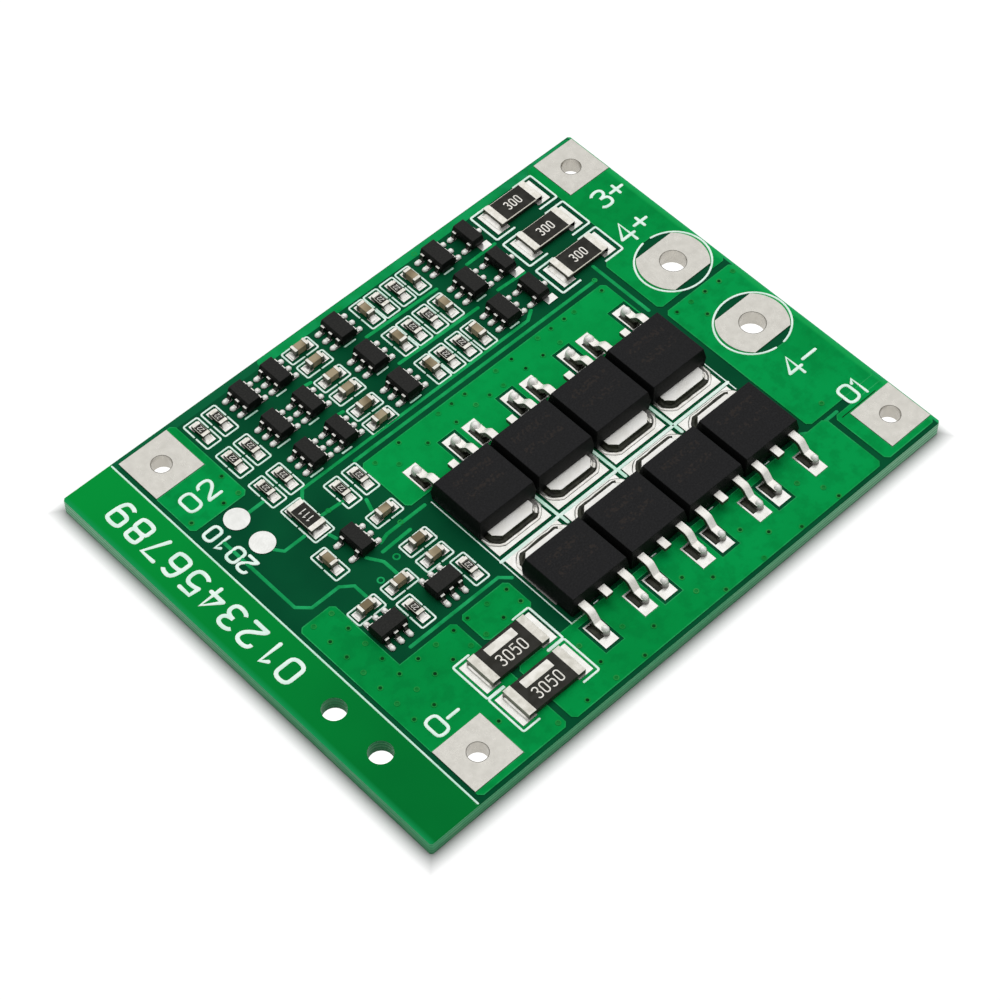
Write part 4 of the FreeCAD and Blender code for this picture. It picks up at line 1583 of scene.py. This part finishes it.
@dataclass
class SmallParts:
    """Chip resistors and capacitors and the small packages, with their marks and solder."""

    finishes: Finishes
    chip_edge: float = 0.045
    body_edge: float = 0.05
    lead_edge: float = 0.02
    chip_pen: Pen = Pen(0.05, 0.006)
    link_pen: Pen = Pen(0.1, 0.01)
    foot: float = 0.3
    foot_solder: tuple[float, float, float] = (0.64, 0.56, 0.26)
    packages: tuple[tuple[str, int], ...] = (
        ("level_shifter", 6), ("protection_chip", 3), ("balance_chip", 3), ("balance_switch", 3),
        ("gate_driver", 2),
    )

    def build(self) -> None:
        """Finish chips and packages."""
        resistors = chip_places("chip_resistor_bodies", "chip_resistor_bands")
        capacitors = chip_places("chip_capacitor_bodies", "chip_capacitor_caps")
        for node, slot, finish in (
            ("chip_resistor_bodies", "resistor_coating", self.finishes.rimmed_glaze),
            ("chip_resistor_bands", "plated_ends", self.finishes.ends),
            ("chip_capacitor_bodies", "capacitor_ceramic", self.finishes.ceramic),
            ("chip_capacitor_caps", "plated_ends", self.finishes.ends),
        ):
            refinish(node, slot, self.chip_edge, finish)
        fillets = [place for part in resistors for place in part.fillets(0.55, 0.6)]
        fillets += [place for part in capacitors for place in part.fillets(0.35, 0.6)]
        solder(SolderForm.FILLET, 8, fillets, "chip_solder", self.finishes.solder)
        link = [part for part in resistors if part.body.size.x > LINK_WIDTH * MM]
        chips = [part for part in resistors if part not in link]
        self.build_codes("chip_codes", "22", chips, self.chip_pen, (0.42, 0.2, 0.3))
        self.build_codes("link_code", "111", link, self.link_pen, (0.75, 0.3, 0.48))
        self.build_packages()

    def build_codes(self, name: str, text: str, parts: Sequence[ChipPlace], pen: Pen,
                    sizes: tuple[float, float, float]) -> None:
        """Print a plain number on chips of one kind.

        Args:
            name: The piece's name.
            text: The number.
            parts: The chips.
            pen: The pen that draws it.
            sizes: Height, width and pitch of the figures, in millimetres.
        """
        strokes = []
        for part in parts:
            along, across = (part.body.centre.xy - BOARD_LOW.xy) / MM
            span = (len(text) - 1) * sizes[2] + sizes[1]
            low = (along + sizes[0] / 2, across - span / 2)
            strokes += Figure(text, low, *sizes, 90.0).strokes()
        draw(strokes, pen, parts[0].body.high.z, name, "resistor_coating", self.finishes.code)

    def build_packages(self) -> None:
        """Finish the small packages, their leads and the solder at their feet."""
        names = [f"{kind}_{number}" for kind, count in self.packages for number in range(1, count + 1)]
        names.append("output_switch")
        for name in names:
            refinish(name, "small_moulding", self.body_edge, self.finishes.small_body, angle=8.0)
        bodies = [node_box(name) for name in names]
        places = []
        for lead in solids_of("small_package_leads"):
            body = min(bodies, key=lambda box: (box.centre - lead.centre).length)
            offset = lead.centre - body.centre
            axis = int(abs(offset.x) / body.size.x <= abs(offset.y) / body.size.y)
            outward, toe = lead.side(body.centre, axis)
            middle = lead.centre
            middle[axis] = toe - outward * self.foot * MM
            places.append(solder_place(middle, axis, outward, [size * MM for size in self.foot_solder]))
        solder(SolderForm.BEAD, 6, places, "small_lead_solder", self.finishes.bead_solder)
        refinish("small_package_leads", "small_leads", self.lead_edge, self.finishes.small_lead, segments=1)


@dataclass
class Legend:
    """The printed legend: lines, outlines, rings and plain numbers in thick ink."""

    finishes: Finishes
    line: Pen = Pen(0.18, 0.04)
    ring: Pen = Pen(0.2, 0.04)
    resistor_outline: Pen = Pen(0.22, 0.04)
    fine: Pen = Pen(0.12, 0.024)
    chip_outline: Pen = Pen(0.17, 0.035)
    grid: Pen = Pen(0.32, 0.03)
    dam: Pen = Pen(0.56, 0.09)
    label: Pen = Pen(0.3, 0.045)
    strip: Pen = Pen(0.38, 0.04)
    strip_line: float = 5.22
    # The heights of the ink on the dam
    rule_level: float = 0.078
    grid_level: float = 0.075
    outline_gap: float = 0.3
    outline_corner: float = 0.16
    # Half of the outlines' length and width, round the link, an upright chip and a level one
    link_half: Point = (2.22, 1.08)
    upright_half: Point = (1.62, 0.78)
    level_half: Point = (1.5, 0.78)
    ring_radii: Point = (3.65, 3.36)
    ring_gap: float = 8.0

    def build(self) -> None:
        """Print the legend."""
        self.build_lines()
        self.build_outlines()
        self.build_rings()
        self.build_numbers()

    def put(self, strokes: Sequence[Stroke], pen: Pen, level: float, name: str, thin: bool = False) -> None:
        """Draw strokes as one piece of ink.

        Args:
            strokes: The lines to draw.
            pen: The pen that draws them.
            level: The level of the surface that carries them, in metres.
            name: The piece's name.
            thin: Whether the ink is the thin one.
        """
        draw(strokes, pen, level, name, "solder", self.finishes.ink if thin else self.finishes.thick_ink)

    def build_lines(self) -> None:
        """Rule the strip's line and the grid between the power transistors."""
        width = (BOARD_HIGH.y - BOARD_LOW.y) / MM
        rules = [ruled((self.strip_line, 0.2), (self.strip_line, width - 0.2))]
        self.put(rules, self.line, FACE, "legend_strip_line", thin=True)
        # A dam of mask parts the lands of the two rows of transistors, and the ink lies on it
        columns = (29.17, 36.05, 42.92)
        dams = [ruled((22.6, 15.53), (49.4, 15.53))]
        dams += [ruled((along, 15.3), (along, 19.3)) for along in columns]
        draw(dams, self.dam, FACE, "mask_dams", "green_mask_laminate", self.finishes.laminate)
        self.put([ruled((22.4, 15.5), (49.75, 15.58))], self.grid, FACE + self.rule_level * MM,
                 "legend_transistor_rule")
        grid = [ruled((along + 0.03, 15.5), (along - 0.05, 19.3)) for along in columns]
        grid += [ruled((along + 0.1, 15.5), (along + 0.12, 14.6)) for along in columns]
        self.put(grid, self.grid, FACE + self.grid_level * MM, "legend_transistor_grid", thin=True)
        corners = [
            ruled((22.4, 7.1), (22.4, 24.0)),
            ruled((22.35, 7.1), (23.9, 7.1)),
            ruled((49.77, 14.6), (49.77, 19.3)),
        ]
        corners += [ruled((start, 7.28), (start + 0.45, 7.28)) for start in (25.1, 31.9, 38.8, 45.7)]
        self.put(corners, self.fine, POUR_FACE - SUNK, "legend_transistor_lines")
        dashes = [ruled((11.6, 18.2), (12.3, 18.2))]
        for across in (33.0, 37.25, 41.5):
            for start, stop in ((16.8, 18.1), (20.4, 21.4), (28.3, 29.5), (40.3, 41.3)):
                dashes.append(ruled((start, across), (stop, across)))
        self.put(dashes, self.line, FACE, "legend_dashes", thin=True)

    def build_outlines(self) -> None:
        """Outline the chips and the large resistors with brackets."""
        strokes = []
        parts = chip_places("chip_resistor_bodies", "chip_resistor_bands")
        parts += chip_places("chip_capacitor_bodies", "chip_capacitor_caps")
        for part in parts:
            if part.body.size[1 - int(part.upright)] > LINK_WIDTH * MM:
                half = self.link_half
            else:
                half = self.upright_half if part.upright else self.level_half
            strokes += brackets(part.outline, *half, half[0] - self.outline_gap / 2, self.outline_corner,
                                part.upright)
        self.put(strokes, self.chip_outline, FACE, "legend_chip_outlines")
        strokes = []
        for kind, count, half, reach in (("sense", 2, (4.27, 2.05), 1.75),
                                         ("balance", 3, (3.78, 1.76), 2.15)):
            for number in range(1, count + 1):
                outline = large_resistor(kind, number).outline
                strokes += brackets(outline, *half, reach, self.outline_corner, False)
        self.put(strokes, self.resistor_outline, POUR_FACE - 0.006 * MM, "legend_resistor_outlines")

    def build_rings(self) -> None:
        """Ring the two pack terminals, each with a small gap."""
        radii = (self.ring_radii[0] * MM, self.ring_radii[1] * MM)
        strokes = []
        for name, gap_at in (("pack_plus_terminal", 90.0), ("pack_minus_terminal", 270.0)):
            points = arc(node_box(name).centre, radii, gap_at + self.ring_gap, 360.0 - 2 * self.ring_gap, 48)
            strokes.append(Stroke(points))
        self.put(strokes, self.ring, POUR_FACE, "legend_rings")

    def build_numbers(self) -> None:
        """Print plain numbers and signs beside the terminals and along the strip."""
        strip = Figure("0123456789", (3.78, 18.9), 2.3, 1.5, 2.38, 90.0)
        self.put(strip.strokes(), self.strip, FACE, "legend_strip_numbers")
        figures = (
            Figure("3", (56.1, 37.1), 2.0, 1.3, 1.7),
            Figure("+", (57.8, 37.2), 1.7, 1.45, 1.7),
            Figure("4", (54.6, 32.55), 2.4, 1.5, 1.9),
            Figure("+", (56.6, 32.9), 1.8, 1.5, 1.9),
            Figure("4", (54.4, 11.75), 2.25, 1.45, 1.9),
            Figure("-", (56.4, 11.9), 1.9, 1.6, 1.9),
            Figure("0", (55.85, 6.55), 1.9, 1.25, 1.5),
            Figure("1", (57.35, 6.55), 1.9, 0.9, 1.5),
            Figure("0", (7.1, 6.65), 1.9, 1.25, 1.7),
            Figure("-", (8.85, 6.6), 1.9, 1.15, 1.7),
            Figure("02", (6.95, 37.05), 1.85, 1.3, 2.0),
        )
        strokes = [stroke for figure in figures for stroke in figure.strokes()]
        self.put(strokes, self.label, POUR_FACE, "legend_labels")
        strokes = Figure("10", (7.7, 32.55), 1.6, 0.95, 1.25, 90.0).strokes()
        strokes += Figure("20", (7.7, 29.4), 1.6, 1.05, 1.4, 90.0).strokes()
        self.put(strokes, self.label, FACE, "legend_probe_numbers")


# Studio

@dataclass
class Studio:
    """The floor, the soft light and the camera."""

    azimuth: float = -44.056
    elevation: float = 54.590
    roll: float = 0.394
    distance: float = 250.538
    target: Point = (-2.452, -1.839)
    lens: float = 105.86
    sensor: float = 36.0
    floor_size: float = 3.0
    floor_level: float = -0.02
    shadow_start: float = 0.05
    near_shadow: float = 1.4
    far_shadow: float = 0.9
    lamp_place: tuple[float, float, float] = (0.1, 0.12, 0.5)
    lamp_size: float = 0.45
    lamp_power: float = 1.1

    def build(self) -> None:
        """Set up the stage."""
        bpy.context.scene.view_settings.view_transform = "Standard"
        self.build_floor()
        self.build_world()
        self.build_lamp()
        self.build_camera()

    def build_floor(self) -> None:
        """Lay a pale floor that shows white, keeps the board's shadow and deepens it with painted shadow,
        and is bright under its holes.
        """
        bpy.ops.mesh.primitive_plane_add(size=self.floor_size,
                                         location=(0.0, 0.0, self.floor_level * MM))
        floor = latest()
        floor.name = "floor"
        settle(floor)
        recipe = Recipe(bpy.data.materials.new("pale_paper_sweep"))
        seen = 0.0
        for ray in ("Is Camera Ray", "Is Glossy Ray", "Is Transmission Ray"):
            seen = recipe.add("Math", (seen, recipe.add("LightPath", out=ray)), operation="MAXIMUM")
        white, under = 0.0, 1.0
        for axis in (0, 1):
            low, high = BOARD_LOW[axis], BOARD_HIGH[axis]
            place = recipe.add("SeparateXYZ", (recipe.place,), axis)
            for edge, away in ((low, -self.near_shadow * MM), (high, self.far_shadow * MM)):
                start, stop = edge + math.copysign(self.shadow_start * MM, away), edge + away
                beyond = recipe.add("MapRange", (place, start, stop), clamp=True)
                white = recipe.add("Math", (white, beyond), operation="MAXIMUM")
            for test, limit in (("GREATER_THAN", low + MM), ("LESS_THAN", high - MM)):
                inside = recipe.add("Math", (place, limit), operation=test)
                under = recipe.add("Math", (under, inside), operation="MULTIPLY")
        # Painted shadow: the paper's glow fades out in a band along the board's edges, so the shadow there
        # is darker than the light casts. Away from that band the paper burns out to white, and so it does in
        # the holes
        glow = recipe.add("MapRange", (white, 0.0, 1.0, 0.0, 0.56), clamp=True)
        glow = recipe.add("Math", (glow, under), operation="MAXIMUM")
        recipe.feed(recipe.shader, {
            # Painted shadow: the paper that the camera sees is painted darker, which deepens the band
            "Base Color": recipe.coats("#f2f2f2", ("#bcbcbc", seen)),
            "Roughness": 0.9,
            "Specular IOR Level": 0.0,
            "Emission Color": "#ffffff",
            "Emission Strength": recipe.add("Math", (seen, glow), operation="MULTIPLY"),
        })
        floor.data.materials.append(recipe.owner)

    def build_world(self) -> None:
        """Fill the surroundings with soft white light, darker low down and on the near left.

        The camera sees pure white. Metal sees the same white overhead, and greys towards the
        horizon as in a room lit from above.
        """
        world = bpy.data.worlds.new("studio")
        bpy.context.scene.world = world
        recipe = Recipe(world, "Background", "Generated")
        lighting = recipe.ramp(recipe.place, 2, 0.0, 0.75, 0.1, 0.95)
        mirrored = recipe.ramp(recipe.place, 2, 0.0, 0.7, 0.06, 1.0)
        camera, glossy, through = (recipe.add("LightPath", out=f"Is {ray} Ray")
                                   for ray in ("Camera", "Glossy", "Transmission"))
        shiny = recipe.add("Math", (glossy, through), operation="MAXIMUM")
        level = recipe.add("MapRange", (shiny, 0.0, 1.0, lighting, mirrored), clamp=True)
        x, y = (recipe.add("SeparateXYZ", (recipe.place,), axis) for axis in (0, 1))
        away = recipe.add("Math", (x, y), operation="ADD")
        away = recipe.add("MapRange", (away, -1.3, 0.1, 0.35, 1.0), clamp=True)
        level = recipe.add("Math", (level, away), operation="MULTIPLY")
        level = recipe.add("Math", (level, camera), operation="MAXIMUM")
        recipe.feed(recipe.shader, {"Color": "#ffffff", "Strength": level})

    def build_lamp(self) -> None:
        """Hang one large soft lamp over the board and beyond it, which metal doesn't mirror."""
        data = bpy.data.lights.new("top_softbox", "AREA")
        data.shape = "SQUARE"
        data.size = self.lamp_size
        data.energy = self.lamp_power
        lamp = bpy.data.objects.new("top_softbox", data)
        lamp.visible_glossy = False
        bpy.context.scene.collection.objects.link(lamp)
        aim = (-Vector(self.lamp_place)).to_track_quat("-Z", "Y")
        lamp.matrix_world = Matrix.Translation(self.lamp_place) @ aim.to_matrix().to_4x4()

    def build_camera(self) -> None:
        """Put the camera at the photograph's angle."""
        azimuth, elevation = math.radians(self.azimuth), math.radians(self.elevation)
        back = Vector((
            math.sin(azimuth) * math.cos(elevation),
            -math.cos(azimuth) * math.cos(elevation),
            math.sin(elevation),
        ))
        right = (-back).cross(Vector((0.0, 0.0, 1.0))).normalized()
        up = right.cross(-back)
        roll = math.radians(self.roll)
        turned_right = math.cos(roll) * right + math.sin(roll) * up
        turned_up = -math.sin(roll) * right + math.cos(roll) * up
        place = Vector((*self.target, 0.0)) * MM + back * self.distance * MM
        data = bpy.data.cameras.new("camera")
        data.sensor_width = self.sensor
        data.lens = self.lens
        data.clip_start = 0.01
        data.clip_end = 10.0
        camera = bpy.data.objects.new("camera", data)
        bpy.context.scene.collection.objects.link(camera)
        axes = Matrix((turned_right, turned_up, back)).transposed().to_4x4()
        camera.matrix_world = Matrix.Translation(place) @ axes
        bpy.context.scene.camera = camera


def main() -> None:
    """Build every sub-assembly in order."""
    logging.basicConfig(level=logging.INFO, format="%(name)s %(message)s")
    deselect_all()
    Studio().build()
    finishes = Finishes()
    for assembly in (
        Panel(finishes), Terminals(finishes), PowerStage(finishes), Resistors(finishes),
        SmallParts(finishes), Legend(finishes),
    ):
        assembly.build()


if __name__ == "__main__":
    main()
